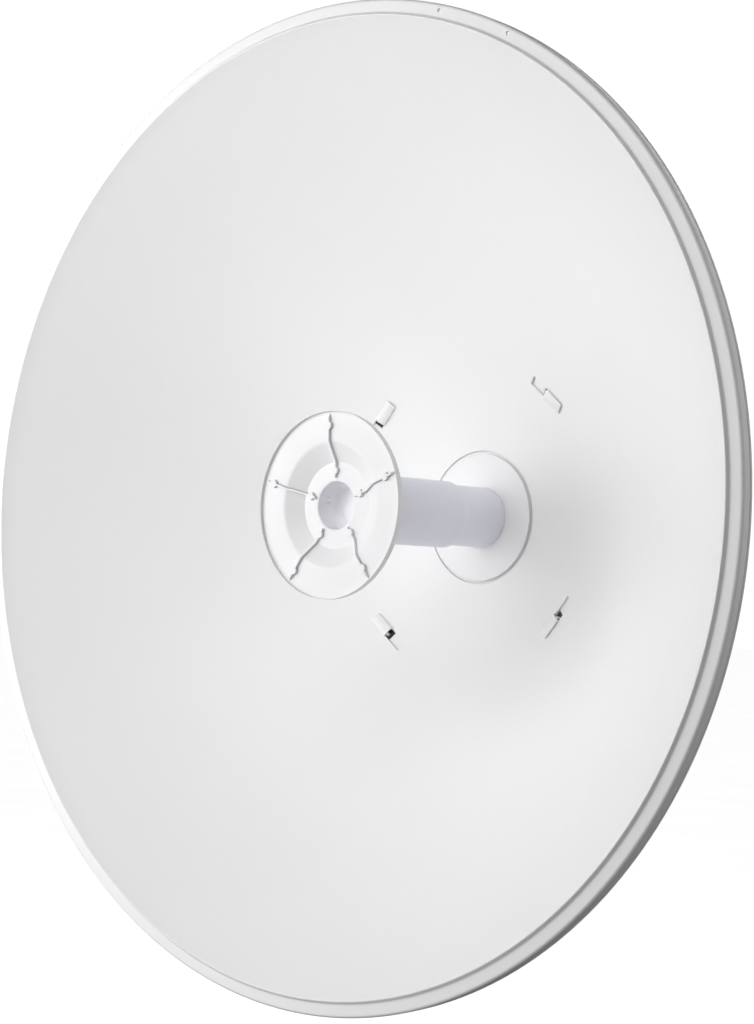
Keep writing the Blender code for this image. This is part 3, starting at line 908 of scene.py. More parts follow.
@dataclass
class LatchHooks(Assembly):
    """The tongues of the pan that fill the slots, each with a tab under its louver, and black pads of painted
    shade.
    """

    half_width: float = 3.3 * MM
    foot: float = 3.0 * MM
    sunk: float = 1.4 * MM
    start: float = 3.7 * MM
    end: float = 15.5 * MM
    sheet: float = 0.7 * MM
    tab_top: float = 1.2 * MM
    tab_inside: float = 0.2 * MM
    tab_outside: float = 2.3 * MM
    tab_in: float = -3.0 * MM
    tab_out: float = 0.9 * MM
    shade_pad_top: float = 1.75 * MM
    shade_pad_foot: float = 2.2 * MM
    shade_pad_start: float = -15.0 * MM
    shade_pad_gap: float = 0.1 * MM
    rounding: float = 0.15 * MM

    def hook(self) -> Object:
        """One tongue in its local frame, with the tab that grips the louver's edge."""
        half, inside, outside = self.half_width, self.tab_inside, self.tab_outside
        end = Vector((self.end, -self.sunk, half))
        hook = block("hook", Vector((self.start, -self.foot, -half)), end)
        root = self.tab_out - self.sheet
        corners = (
            ((root, -self.foot, inside), (self.start + MM, self.sheet - self.foot, outside)),
            ((root, -self.foot, inside), (self.tab_out, self.tab_top, outside)),
            ((self.tab_in, self.tab_top - self.sheet, inside), (self.tab_out, self.tab_top, outside)),
        )
        for first, last in corners:
            combine(hook, block("tab", Vector(first), Vector(last)), Operation.UNION)
        return smooth(round_edges(hook, self.rounding, 2))

    def pad(self) -> Object:
        """A near-black pad between the pan and the dish: painted shade that darkens a louver's mouth."""
        half, gap = self.half_width, self.shade_pad_gap
        end = Vector((self.start - gap, -self.shade_pad_top, half))
        pad = block("pad", Vector((self.shade_pad_start, -self.shade_pad_foot, -half)), end)
        low = Vector((self.tab_out - self.sheet - gap, -self.foot, self.tab_inside - gap))
        high = Vector((self.tab_out + gap, MM, self.tab_outside + gap))
        combine(pad, block("window", low, high), Operation.CUT)
        return smooth(round_edges(pad, self.shade_pad_gap, 1))

    def build(self) -> None:
        """Copy the tongue and its black pad of painted shade to the four slots."""
        frames = Reflector(self.finishes, self.bowl).latch_frames()
        tongues = [(f"pan_tongue_{i}", frame, f"latch_hook_{i}") for i, frame in enumerate(frames, 1)]
        self.dress_copies(self.hook(), "reflector", tongues)
        # Black pads behind the louvers' mouths paint in the shade of the hollows there.
        pads = [(f"latch_pad_{i}", frame, "") for i, frame in enumerate(frames, 1)]
        self.dress_copies(self.pad(), "shade_black", pads, slot="back_pan")


@dataclass
class Feed(Assembly):
    """The hub cover, the two-part feed tube, its foot and its two inlets."""

    steps: int = 128
    rise: float = 1.6 * MM
    seat: float = 0.12 * MM
    edge: float = 0.45 * MM
    shadow_gap: float = 1.0 * MM
    mouth_round: float = 0.1 * MM
    mouth_gap: float = 0.04 * MM
    bore: float = 18.0 * MM
    foot_radius: float = 28.0 * MM
    cap_sheet: float = 5.0 * MM
    screw_reach: float = 15.5 * MM
    inlet_hexagon: float = 5.0 * MM
    inlet_base: float = 2.5 * MM
    inlet_barrel: float = 3.1 * MM
    inlet_bore: float = 2.3 * MM
    inlet_depth: float = 6.0 * MM
    inlet_pitch: float = 0.7 * MM

    def build(self) -> None:
        """Build the feed from the hub forward, then its foot and what is on it."""
        self.build_cover()
        self.build_tube()
        self.build_sleeve()
        self.build_neck()
        self.build_base()
        self.build_cap_screws()
        self.build_inlets()

    def build_cover(self) -> None:
        """The round cover that follows the bowl, with a shadow gap under its edge."""
        bowl = self.bowl
        outer = node_radius("hub_cover")
        foot = outer - self.shadow_gap
        inner = node_radius("feed_tube") + self.mouth_gap
        edge, mouth = self.edge, self.mouth_round
        profile = [(r, bowl.y(r) - self.rise) for r in spread(inner + mouth, outer - edge, 10)]
        profile += arc((outer - edge, bowl.y(outer) - self.rise + edge), edge, 285.0, 360.0, 4)
        profile += [(outer, bowl.y(outer) - self.shadow_gap), (foot, bowl.y(foot) - self.shadow_gap)]
        profile += [(r, bowl.y(r) - self.seat) for r in spread(foot, inner, 10)]
        profile += arc((inner + mouth, bowl.y(inner) - self.rise + mouth), mouth, 180.0, 255.0, 6)
        self.dress(smooth(lathe("hub_plate", profile, 192)), "reflector", "hub_cover")

    def pipe(self, name: str, node: str, bore: float, front_round: float, back_round: float) -> Object:
        """A tube as long as its CAD node.

        Args:
            name: the piece's name.
            node: the CAD node that it stands for.
            bore: inner radius.
            front_round: rounding of the front outer edge.
            back_round: rounding of the back outer edge.

        Returns:
            The tube.
        """
        low, high = node_box(node)
        radius = node_radius(node)
        front = (radius - front_round, low.y + front_round)
        back = (radius - back_round, high.y - back_round)
        profile = arc(front, front_round, 270.0, 360.0, 5)
        profile += [(radius, y) for y in spread(front[1], back[1], 12)[1:-1]]
        profile += arc(back, back_round, 0.0, 90.0, 5)
        profile += [(bore, y) for y in spread(high.y, low.y, 12)]
        return smooth(lathe(name, profile, self.steps))

    @property
    def socket(self) -> float:
        """Radius of the bores that the rear tube runs through."""
        return node_radius("feed_tube") + SLIP

    def build_tube(self) -> None:
        """The rear tube, which runs on through the sleeve."""
        tube = self.pipe("rear_tube", "feed_tube", self.bore, self.edge, self.edge)
        self.dress(tube, "feed", "feed_tube")

    def build_sleeve(self) -> None:
        """The wider front sleeve, with a soft shoulder at its rear end."""
        sleeve = self.pipe("front_sleeve", "feed_sleeve", self.socket, self.edge, 2 * self.edge)
        self.dress(sleeve, "feed", "feed_sleeve")

    def build_neck(self) -> None:
        """The cone that carries the disc on the sleeve."""
        low, high = node_box("subreflector_neck")
        wide = node_radius("subreflector_neck")
        narrow = node_radius("feed_sleeve")
        inner = self.socket
        wall = 1.6 * MM
        profile = [(wide - wall, low.y), (wide - self.edge, low.y), (wide, low.y + self.edge)]
        profile += [(narrow, high.y - wall), (narrow, high.y), (inner, high.y), (inner, high.y - wall)]
        self.dress(smooth(lathe("disc_neck", profile, self.steps)), "feed", "subreflector_neck")

    def build_base(self) -> None:
        """The foot behind the dish, with a groove where its cap closes it."""
        low, high = node_box("feed_base")
        bowl = self.bowl
        flange = node_radius("feed_base")
        body = self.foot_radius
        socket = self.socket
        shoulder = node_box("feed_tube")[1].y + SEAT
        cap = high.y - self.cap_sheet
        start = Reflector.hole_radius
        seat = [bowl.offset(radius, bowl.sheet + SEAT) for radius in (start, flange)]
        heel = low.y + bowl.y(0.0) - bowl.y(flange) + 8.0 * MM
        groove = cap + MM
        deep = 0.6 * MM
        profile = [(socket, seat[0][1]), seat[0], (flange, seat[1][1]), (flange, heel - MM)]
        profile += [(flange - MM, heel), (body + MM, heel), (body, heel + MM)]
        profile += [(body, groove - 0.5 * MM), (body - deep, groove - 0.4 * MM)]
        profile += [(body - deep, groove + 0.4 * MM), (body, groove + 0.5 * MM)]
        profile += arc((body - 2 * deep, high.y - 2 * deep), 2 * deep, 0.0, 90.0, 5)
        profile += [(0.0, high.y), (0.0, cap), (self.bore, cap), (self.bore, shoulder), (socket, shoulder)]
        self.dress(smooth(lathe("feed_foot", profile, self.steps)), "feed", "feed_base")

    def build_cap_screws(self) -> None:
        """Four small pan-head screws with cross recesses, in the foot's cap."""
        back = Vector((0.0, 1.0, 0.0))
        head = rod("screw", 2.9 * MM, back * 0.05 * MM, back * 1.7 * MM, 32)
        round_edges(head, 0.8 * MM, 4, 50.0)
        long = 1.5 * MM
        thin = 0.35 * MM
        bar = block("recess", Vector((-long, 0.8 * MM, -thin)), Vector((long, 3.0 * MM, thin)))
        for turn in (20.0, 110.0):
            combine(head, copy_to(bar, Matrix.Rotation(math.radians(turn), 4, "Y")), Operation.CUT)
        discard(bar)
        y = node_box("feed_base")[1].y
        reach = self.screw_reach
        places = []
        for level in Level:
            for side in Side:
                frame = Matrix.Translation((side.value * reach, y, level.value * reach))
                places.append((f"cap_screw_{level.name.lower()}_{side.name.lower()}", frame, ""))
        self.dress_copies(smooth(head), "zinc", places, slot="ground_screw")

    def inlet(self, length: float) -> Object:
        """A hexagon with a threaded barrel, along local Y.

        Args:
            length: its whole length.

        Returns:
            The body of one coaxial inlet.
        """
        base = self.inlet_base
        barrel = self.inlet_barrel
        root = barrel - 0.22 * MM
        start = base + MM
        body = rod("hexagon", self.inlet_hexagon, ORIGIN, Vector((0.0, base, 0.0)), 6)
        round_edges(body, 0.25 * MM, 2)
        profile: list[Point] = [(0.0, base / 2), (root, base / 2), (root, base + 0.6 * MM)]
        for turn in range(int((length - start - 0.8 * MM) / self.inlet_pitch)):
            profile.append((barrel, start + turn * self.inlet_pitch))
            profile.append((root, start + (turn + 0.5) * self.inlet_pitch))
        profile += [(barrel, length - 0.4 * MM), (barrel - 0.4 * MM, length), (self.inlet_bore, length)]
        profile += [(self.inlet_bore, length - self.inlet_depth), (0.0, length - self.inlet_depth)]
        combine(body, lathe("barrel", profile, 48), Operation.UNION)
        return smooth(body)

    def build_inlets(self) -> None:
        """Two coaxial inlets on the foot, each with its insulator and pin."""
        low, high = node_box("rf_connector_left")
        length = high.y - low.y
        floor = length - self.inlet_depth + 0.02 * MM
        outer = self.inlet_bore - 0.05 * MM
        top = length - 2.6 * MM
        hole = 0.7 * MM
        ring = [(hole, floor), (outer, floor), (outer, top), (hole, top)]
        pin = rod("pin", 0.55 * MM, Vector((0.0, floor, 0.0)), Vector((0.0, length - 0.9 * MM, 0.0)), 24)
        models = (
            ("inlet", "gold", self.inlet(length)),
            ("inlet_insulator", "insulator", smooth(lathe("insulator", ring, 32))),
            ("inlet_pin", "gold", smooth(round_edges(pin, 0.3 * MM, 3))),
        )
        for kind, finish, model in models:
            for side in Side:
                node = f"rf_connector_{side.name.lower()}"
                centre = node_centre(node)
                frame = Matrix.Translation((centre.x, low.y, centre.z))
                piece = rename(copy_to(model, frame), f"{kind}_{side.name.lower()}")
                self.dress(piece, finish, node if kind == "inlet" else "", node)
            discard(model)


@dataclass
class SubReflector(Assembly):
    """The white disc at the front, with its lip, cone, ribs and bosses, and its throat."""

    steps: int = 192
    sheet: float = 2.6 * MM
    edge: float = 0.15 * MM
    edge_height: float = 4.2 * MM
    edge_slope: float = 6.0 * MM
    lip_height: float = 0.8 * MM
    lip_proud: float = 1.2 * MM
    lip_width: float = 0.4 * MM
    rim_spare: float = 0.4 * MM
    ring_radius: float = 57.2 * MM
    ring_run: float = 3.6 * MM
    ring_step: float = 0.2 * MM
    cone_top: float = 41.0 * MM
    cone_foot: float = 28.4 * MM
    cone_depth: float = 6.8 * MM
    cone_bend: float = 1.5 * MM
    mouth_depth: float = 6.2 * MM
    throat: float = 16.7 * MM
    spigot: float = 20.6 * MM
    cup_wall: float = 0.6 * MM
    cup_floor: float = 1.6 * MM
    cup_bend: float = 6.0 * MM
    rib_count: int = 5
    rib_angle: float = 93.0
    rib_half: float = 0.65 * MM
    rib_rise: float = 2.0 * MM
    rib_start: float = 18.3 * MM
    rib_end: float = 57.4 * MM
    gap: float = 0.28 * MM
    groove: float = 0.9 * MM
    bosses: tuple[Point, Point] = ((51.5 * MM, 2.5 * MM), (22.5 * MM, 2.35 * MM))
    boss_rise: float = 2.1 * MM
    pocket: float = 0.9 * MM
    pocket_depth: float = 1.4 * MM
    key_offset: float = 1.9 * MM
    key_half: float = 0.35 * MM
    key_depth: float = 12.5 * MM
    key_length: float = 4.5 * MM

    @property
    def face(self) -> float:
        """World Y of the flat part of the front face."""
        return node_box("subreflector")[0].y + self.lip_height

    def face_y(self, radius: float) -> float:
        """World Y of the front face.

        Args:
            radius: a radius from the throat to the ring.

        Returns:
            The Y there.
        """
        if radius >= self.cone_top:
            return self.face
        if radius >= self.cone_foot:
            share = (self.cone_top - radius) / (self.cone_top - self.cone_foot)
            return self.face + self.cone_depth * share
        share = (radius - self.throat) / (self.cone_foot - self.throat)
        return self.face + self.mouth_depth + (self.cone_depth - self.mouth_depth) * share

    def bend(self) -> list[Point]:
        """The soft bend from the cone to the flat face."""
        before = self.cone_top - self.cone_bend
        drop = self.face_y(before) - self.face
        shares = spread(0.0, 1.0, 6)
        return [(before + 2 * self.cone_bend * s, self.face + drop * (1 - s) ** 2) for s in shares]

    def profile(self) -> list[Point]:
        """The disc's closed section, from the throat's mouth outward and back."""
        front, back = (corner.y for corner in node_box("subreflector"))
        front -= self.lip_proud
        rim = node_radius("subreflector") + self.rim_spare
        edge = self.edge
        face = self.face
        inside = rim - self.lip_width
        floor = face + self.cone_depth
        low_face = face + self.ring_step
        mouth_y = self.face_y(self.throat)
        points = [(self.throat, mouth_y + edge), (self.throat + edge, mouth_y)]
        points += [(self.cone_foot, floor), *self.bend()]
        points += [(self.ring_radius - self.ring_run, face), (self.ring_radius, low_face)]
        points += [(inside, low_face), (inside, front + edge)]
        points += arc((inside + edge, front + edge), edge, 180.0, 270.0, 3)[1:]
        points += arc((rim - edge, front + edge), edge, 270.0, 360.0, 3)
        points += [(rim, front + self.edge_height), (rim - self.edge_slope, face + self.sheet)]
        points += [(self.cone_top, face + self.sheet), (self.cone_foot, floor + self.sheet)]
        points += [(self.spigot, floor + self.sheet), (self.spigot, back), (self.throat, back)]
        return points

    def strip(self, half: float, above: float, below: float, overrun: float) -> Object:
        """A bar along local X that follows the disc's front face.

        Args:
            half: half its width.
            above: how far it stands in front of the face.
            below: how far it goes in behind the face.
            overrun: how much longer than a rib it is at each end.

        Returns:
            The bar.
        """
        start = self.rib_start - overrun
        places = [Vector((r, self.face_y(r), 0.0)) for r in (start, self.cone_foot, self.cone_top)]
        places.append(Vector((self.rib_end + overrun, self.face, 0.0)))
        low = places[0] + Vector((-0.1 * MM, -above, -half))
        bar = block("strip", low, places[0] + Vector((0.0, below, half)))
        return extend(bar, [after - before for before, after in zip(places, places[1:])])

    def studded(self, bar: Object, grow: float, above: float, below: float) -> Object:
        """Add round bosses to a strip.

        Args:
            bar: the strip.
            grow: how much wider than a boss each one is.
            above: how far it stands in front of the face.
            below: how far it goes in behind the face.

        Returns:
            The strip with its bosses.
        """
        for radius, size in self.bosses:
            y = self.face_y(radius)
            foot = Vector((radius, y + below, 0.0))
            boss = rod("boss", size + grow, foot, Vector((radius, y - above, 0.0)), 32)
            combine(bar, boss, Operation.UNION)
        return bar

    def keyways(self) -> Object:
        """Cutters of the narrow slots in the throat's wall, a pair at one rib."""
        front = self.face + self.key_depth
        cutters = []
        for side in Side:
            z = side.value * self.key_offset
            low = Vector((self.throat - 2 * self.cup_wall, front, z - self.key_half))
            high = Vector((self.throat + SLIP, front + self.key_length, z + self.key_half))
            cutters.append(block("keyways", low, high))
        return join_all(cutters, "keyways")

    def build_cup(self, keyways: Object) -> None:
        """The lavender cup that closes the throat, in a lighter tone that paints light into the hole's shade.

        Args:
            keyways: the cutters of its slots, which are used up.
        """
        back = node_box("subreflector")[1].y
        outer = self.throat - 0.05 * MM
        inner = outer - self.cup_wall
        front = self.face_y(self.throat) + self.edge
        floor = back - self.cup_floor
        bend = self.cup_bend
        profile = [(outer, back), (outer, front), (inner, front)]
        profile += arc((inner - bend, floor - bend), bend, 0.0, 90.0, 10)
        profile += [(0.0, floor), (0.0, back)]
        cup = combine(lathe("throat_cup", profile, self.steps), keyways, Operation.CUT)
        # The cup's lighter finish is painted light in the shaded throat.
        self.dress(smooth(cup), "throat", slot="feed_tube")

    def build(self) -> None:
        """Turn the disc, sink its grooves, join its ribs and punch its notches."""
        disc = lathe("disc", self.profile(), self.steps)
        angles = (self.rib_angle + index * 360.0 / self.rib_count for index in range(self.rib_count))
        turns = [Matrix.Rotation(-math.radians(angle), 4, "Y") for angle in angles]
        proud = 3.0 * MM
        buried = self.groove + 0.4 * MM
        grooves = self.strip(self.rib_half + self.gap, proud, self.groove, self.gap)
        self.studded(grooves, self.gap, proud, self.groove)
        ribs = round_edges(self.strip(self.rib_half, self.rib_rise, buried, 0.0), 0.2 * MM, 2, 60.0)
        self.studded(ribs, 0.0, self.boss_rise, buried)
        place = Vector((self.rib_end + 0.8 * MM, self.face, 0.0))
        pockets = drill(self.pocket, place, Vector((0.0, self.pocket_depth, 0.0)), 24)
        for cutter in (repeat(grooves, turns), repeat(pockets, turns)):
            combine(disc, cutter, Operation.CUT)
        combine(disc, repeat(ribs, turns), Operation.UNION)
        self.dress(smooth(disc, 30.0), "disc", "subreflector")
        self.build_cup(repeat(self.keyways(), turns))


@dataclass
class BackPan(Assembly):
    """The pressed pan between the dish and the bracket."""

    steps: int = 192
    sheet: float = 2.5 * MM
    middle: float = 28.6 * MM
    flange_inner: float = 98.0 * MM
    flange_outer: float = 120.0 * MM
    plate_radius: float = 88.0 * MM
    lip: float = 6.0 * MM
    bend: float = 4.0 * MM
    bolt_hole: float = 4.3 * MM

    def profile(self) -> list[Point]:
        """The pan's front surface, from its middle hole to its lip."""
        bowl = self.bowl
        plate = node_box("back_pan")[1].y - self.sheet
        radii = (self.flange_inner, self.flange_outer)
        inner, outer = (bowl.offset(radius, bowl.sheet + SEAT) for radius in radii)
        bend = self.bend
        edge = self.flange_outer - MM
        points = [(self.middle, plate), (self.plate_radius - bend, plate)]
        points += [(self.plate_radius - 0.3 * bend, plate - 0.25 * bend)]
        points += [(self.plate_radius + 0.25 * bend, plate - bend)]
        points += [(inner[0] - 0.1 * bend, inner[1] + 0.4 * bend)]
        flange = spread(self.flange_inner + 0.4 * bend, self.flange_outer - 3 * MM, 6)
        points += [bowl.offset(radius, bowl.sheet + SEAT) for radius in flange]
        points += [(edge - MM, outer[1] + 0.8 * MM), (edge, outer[1] + 1.4 * MM), (edge, outer[1] + self.lip)]
        return points

    def build(self) -> None:
        """Turn the pan, give it its thickness and punch its bolt holes."""
        pan = lathe("rear_pan", self.profile(), self.steps, closed=False)
        make_active(pan)
        thick = pan.modifiers.new("sheet", "SOLIDIFY")
        thick.thickness = self.sheet
        facing = sum(polygon.normal.y * polygon.area for polygon in pan.data.polygons)
        thick.offset = -1.0 if facing < 0 else 1.0
        thick.use_even_offset = True
        bpy.ops.object.modifier_apply(modifier=thick.name)
        y = node_box("back_pan")[1].y
        centres = [node_centre(node) for node in nodes_named("pan_bolt")]
        holes = [Matrix.Translation((centre.x, y, centre.z)) for centre in centres]
        hole = drill(self.bolt_hole, ORIGIN, THROUGH, 32)
        combine(pan, repeat(hole, holes), Operation.CUT)
        self.dress(smooth(pan), "bracket", "back_pan")


@dataclass
class Brackets(Assembly):
    """The elevation bracket on the pan and the mast bracket inside its cheeks."""

    sheet: float = 3.0 * MM
    mast_web: float = 4.0 * MM
    bend: float = 4.0 * MM
    bolt_hole: float = 4.3 * MM
    earth_hole: float = 3.3 * MM
    middle_hole: float = 34.0 * MM
    slot_sweep: float = 14.0
    nose_root: Point = (16.0 * MM, 83.0 * MM)
    tilt_nose: float = 58.0 * MM
    mast_nose: float = 54.0 * MM

    def channel(self, name: str, low: Vector, high: Vector, web: float, backwards: bool) -> Object:
        """A U channel, extruded from its web.

        Args:
            name: the piece's name.
            low: lowest corner of the whole channel.
            high: its highest corner.
            web: thickness of the web.
            backwards: whether the cheeks run towards +Y.

        Returns:
            The channel with rounded bends.
        """
        web_low = Vector((low.x, low.y if backwards else high.y - web, low.z))
        web_high = Vector((high.x, low.y + web if backwards else high.y, high.z))
        plate = block(name, web_low, web_high)
        bpy.ops.object.mode_set(mode="EDIT")
        for x in (low.x + self.sheet, high.x - self.sheet):
            bpy.ops.mesh.select_all(action="SELECT")
            bpy.ops.mesh.bisect(plane_co=(x, 0.0, 0.0), plane_no=(1.0, 0.0, 0.0))
        bpy.ops.mesh.select_all(action="DESELECT")
        bpy.ops.mesh.select_mode(type="FACE")
        leave_edit()
        way = 1.0 if backwards else -1.0
        for polygon in plate.data.polygons:
            aside = polygon.center.x < low.x + self.sheet or polygon.center.x > high.x - self.sheet
            polygon.select = aside and polygon.normal.y * way > 0.9
        bpy.ops.object.mode_set(mode="EDIT")
        run = way * (high.y - low.y - web)
        bpy.ops.mesh.extrude_region_move(TRANSFORM_OT_translate={"value": (0.0, run, 0.0)})
        bpy.ops.mesh.select_all(action="DESELECT")
        bpy.ops.mesh.select_mode(type="EDGE")
        leave_edit()
        corner_y = low.y if backwards else high.y
        for edge in plate.data.edges:
            ends = [plate.data.vertices[index].co for index in edge.vertices]
            upright = abs(ends[0].x - ends[1].x) < WELD and abs(ends[0].y - ends[1].y) < WELD
            outside = abs(ends[0].y - corner_y) < WELD and abs(abs(ends[0].x) - high.x) < 0.1 * MM
            edge.select = upright and outside
        bpy.ops.object.mode_set(mode="EDIT")
        bpy.ops.mesh.bevel(offset=self.bend, segments=6, affect="EDGES")
        bpy.ops.mesh.select_mode(type="VERT")
        leave_edit()
        return plate

    def noses(self, piece: Object, web_y: float, tip: Point) -> Object:
        """Slope the cheeks' corners towards their free edge.

        Args:
            piece: the channel.
            web_y: Y of the web's outer face.
            tip: Y of the free edge, and half its height.

        Returns:
            The channel with rounded edges.
        """
        reach = 0.2
        way = math.copysign(1.0, tip[0] - web_y)
        run = abs(tip[0] - web_y) - self.nose_root[0]
        slope = (self.nose_root[1] - tip[1]) / run
        for level in Level:
            lean = math.atan2(level.value, way * slope)
            wedge = block("wedge", Vector((-reach, 0.0, -reach)), Vector((reach, reach, reach)))
            frame = Matrix.Translation((0.0, tip[0], level.value * tip[1])) @ Matrix.Rotation(lean, 4, "X")
            combine(piece, move_to(wedge, frame), Operation.CUT)
        return round_edges(piece, 0.35 * MM, 2, 50.0)

    @staticmethod
    def cross_point(node: str) -> Vector:
        """Where a side bolt's axis crosses the bracket's middle plane."""
        centre = node_centre(node)
        return Vector((0.0, centre.y, centre.z))

    def arc_slot(self, pivot: Vector, reach: float) -> Object:
        """The curved slot for the lock bolts, through both cheeks.

        Args:
            pivot: the pivot's place.
            reach: the slot's radius about it.

        Returns:
            The cutter, without its round ends.
        """
        clear_selection()
        bpy.ops.mesh.primitive_plane_add(size=1.0, location=(0.0, 0.0, 0.0))
        cutter = bpy.context.object
        cutter.scale = (2 * ACROSS.x, 2 * self.bolt_hole, 1.0)
        fix_place(cutter)
        start = Matrix.Rotation(math.radians(90.0 - self.slot_sweep), 4, "X")
        move_to(cutter, Matrix.Translation(pivot) @ start @ Matrix.Translation((0.0, reach, 0.0)))
        edit_all()
        sweep = -math.radians(2 * self.slot_sweep)
        bpy.ops.mesh.spin(steps=16, angle=sweep, center=pivot, axis=(1.0, 0.0, 0.0))
        bpy.ops.mesh.select_all(action="SELECT")
        bpy.ops.mesh.normals_make_consistent(inside=False)
        leave_edit()
        return cutter

    def build(self) -> None:
        """Build both channels and drill them."""
        self.build_elevation()
        self.build_mast()

    def build_elevation(self) -> None:
        """The bracket with the curved slots, bolted to the pan."""
        low, high = node_box("elevation_bracket")
        bracket = self.channel("tilt_bracket", low, high, self.sheet, True)
        self.noses(bracket, low.y, (high.y, self.tilt_nose))
        pivot = self.cross_point("pivot_bolt_left")
        reach = self.cross_point("lock_bolt_left").z - pivot.z
        earth = self.cross_point("ground_screw")
        holes = [drill(self.bolt_hole, pivot, ACROSS), drill(self.earth_hole, earth, ACROSS)]
        holes.append(drill(self.middle_hole, Vector((0.0, low.y, 0.0)), THROUGH, 96))
        for centre in (node_centre(node) for node in nodes_named("pan_bolt")):
            holes.append(drill(self.bolt_hole, Vector((centre.x, low.y, centre.z)), THROUGH))
        combine(bracket, join_all(holes, "holes"), Operation.CUT)
        combine(bracket, self.arc_slot(pivot, reach), Operation.CUT)
        ends = []
        for turn in (math.radians(90.0 + side.value * self.slot_sweep) for side in Side):
            place = pivot + Vector((0.0, math.cos(turn), math.sin(turn))) * reach
            ends.append(drill(self.bolt_hole, place, ACROSS))
        combine(bracket, join_all(ends, "ends"), Operation.CUT)
        self.dress(smooth(bracket), "bracket", "elevation_bracket")

    def build_mast(self) -> None:
        """The bracket whose flat back lies against the mast."""
        low, high = node_box("mast_bracket")
        bracket = self.channel("mast_channel", low, high, self.mast_web, False)
        self.noses(bracket, high.y, (low.y, self.mast_nose))
        side_bolts = ("pivot_bolt_left", "lock_bolt_left")
        holes = [drill(self.bolt_hole, self.cross_point(node), ACROSS) for node in side_bolts]
        for centre in (node_centre(node) for node in nodes_named("clamp_bolt")):
            holes.append(drill(self.bolt_hole, Vector((centre.x, high.y, centre.z)), THROUGH))
        combine(bracket, join_all(holes, "holes"), Operation.CUT)
        self.dress(smooth(bracket), "bracket", "mast_bracket")


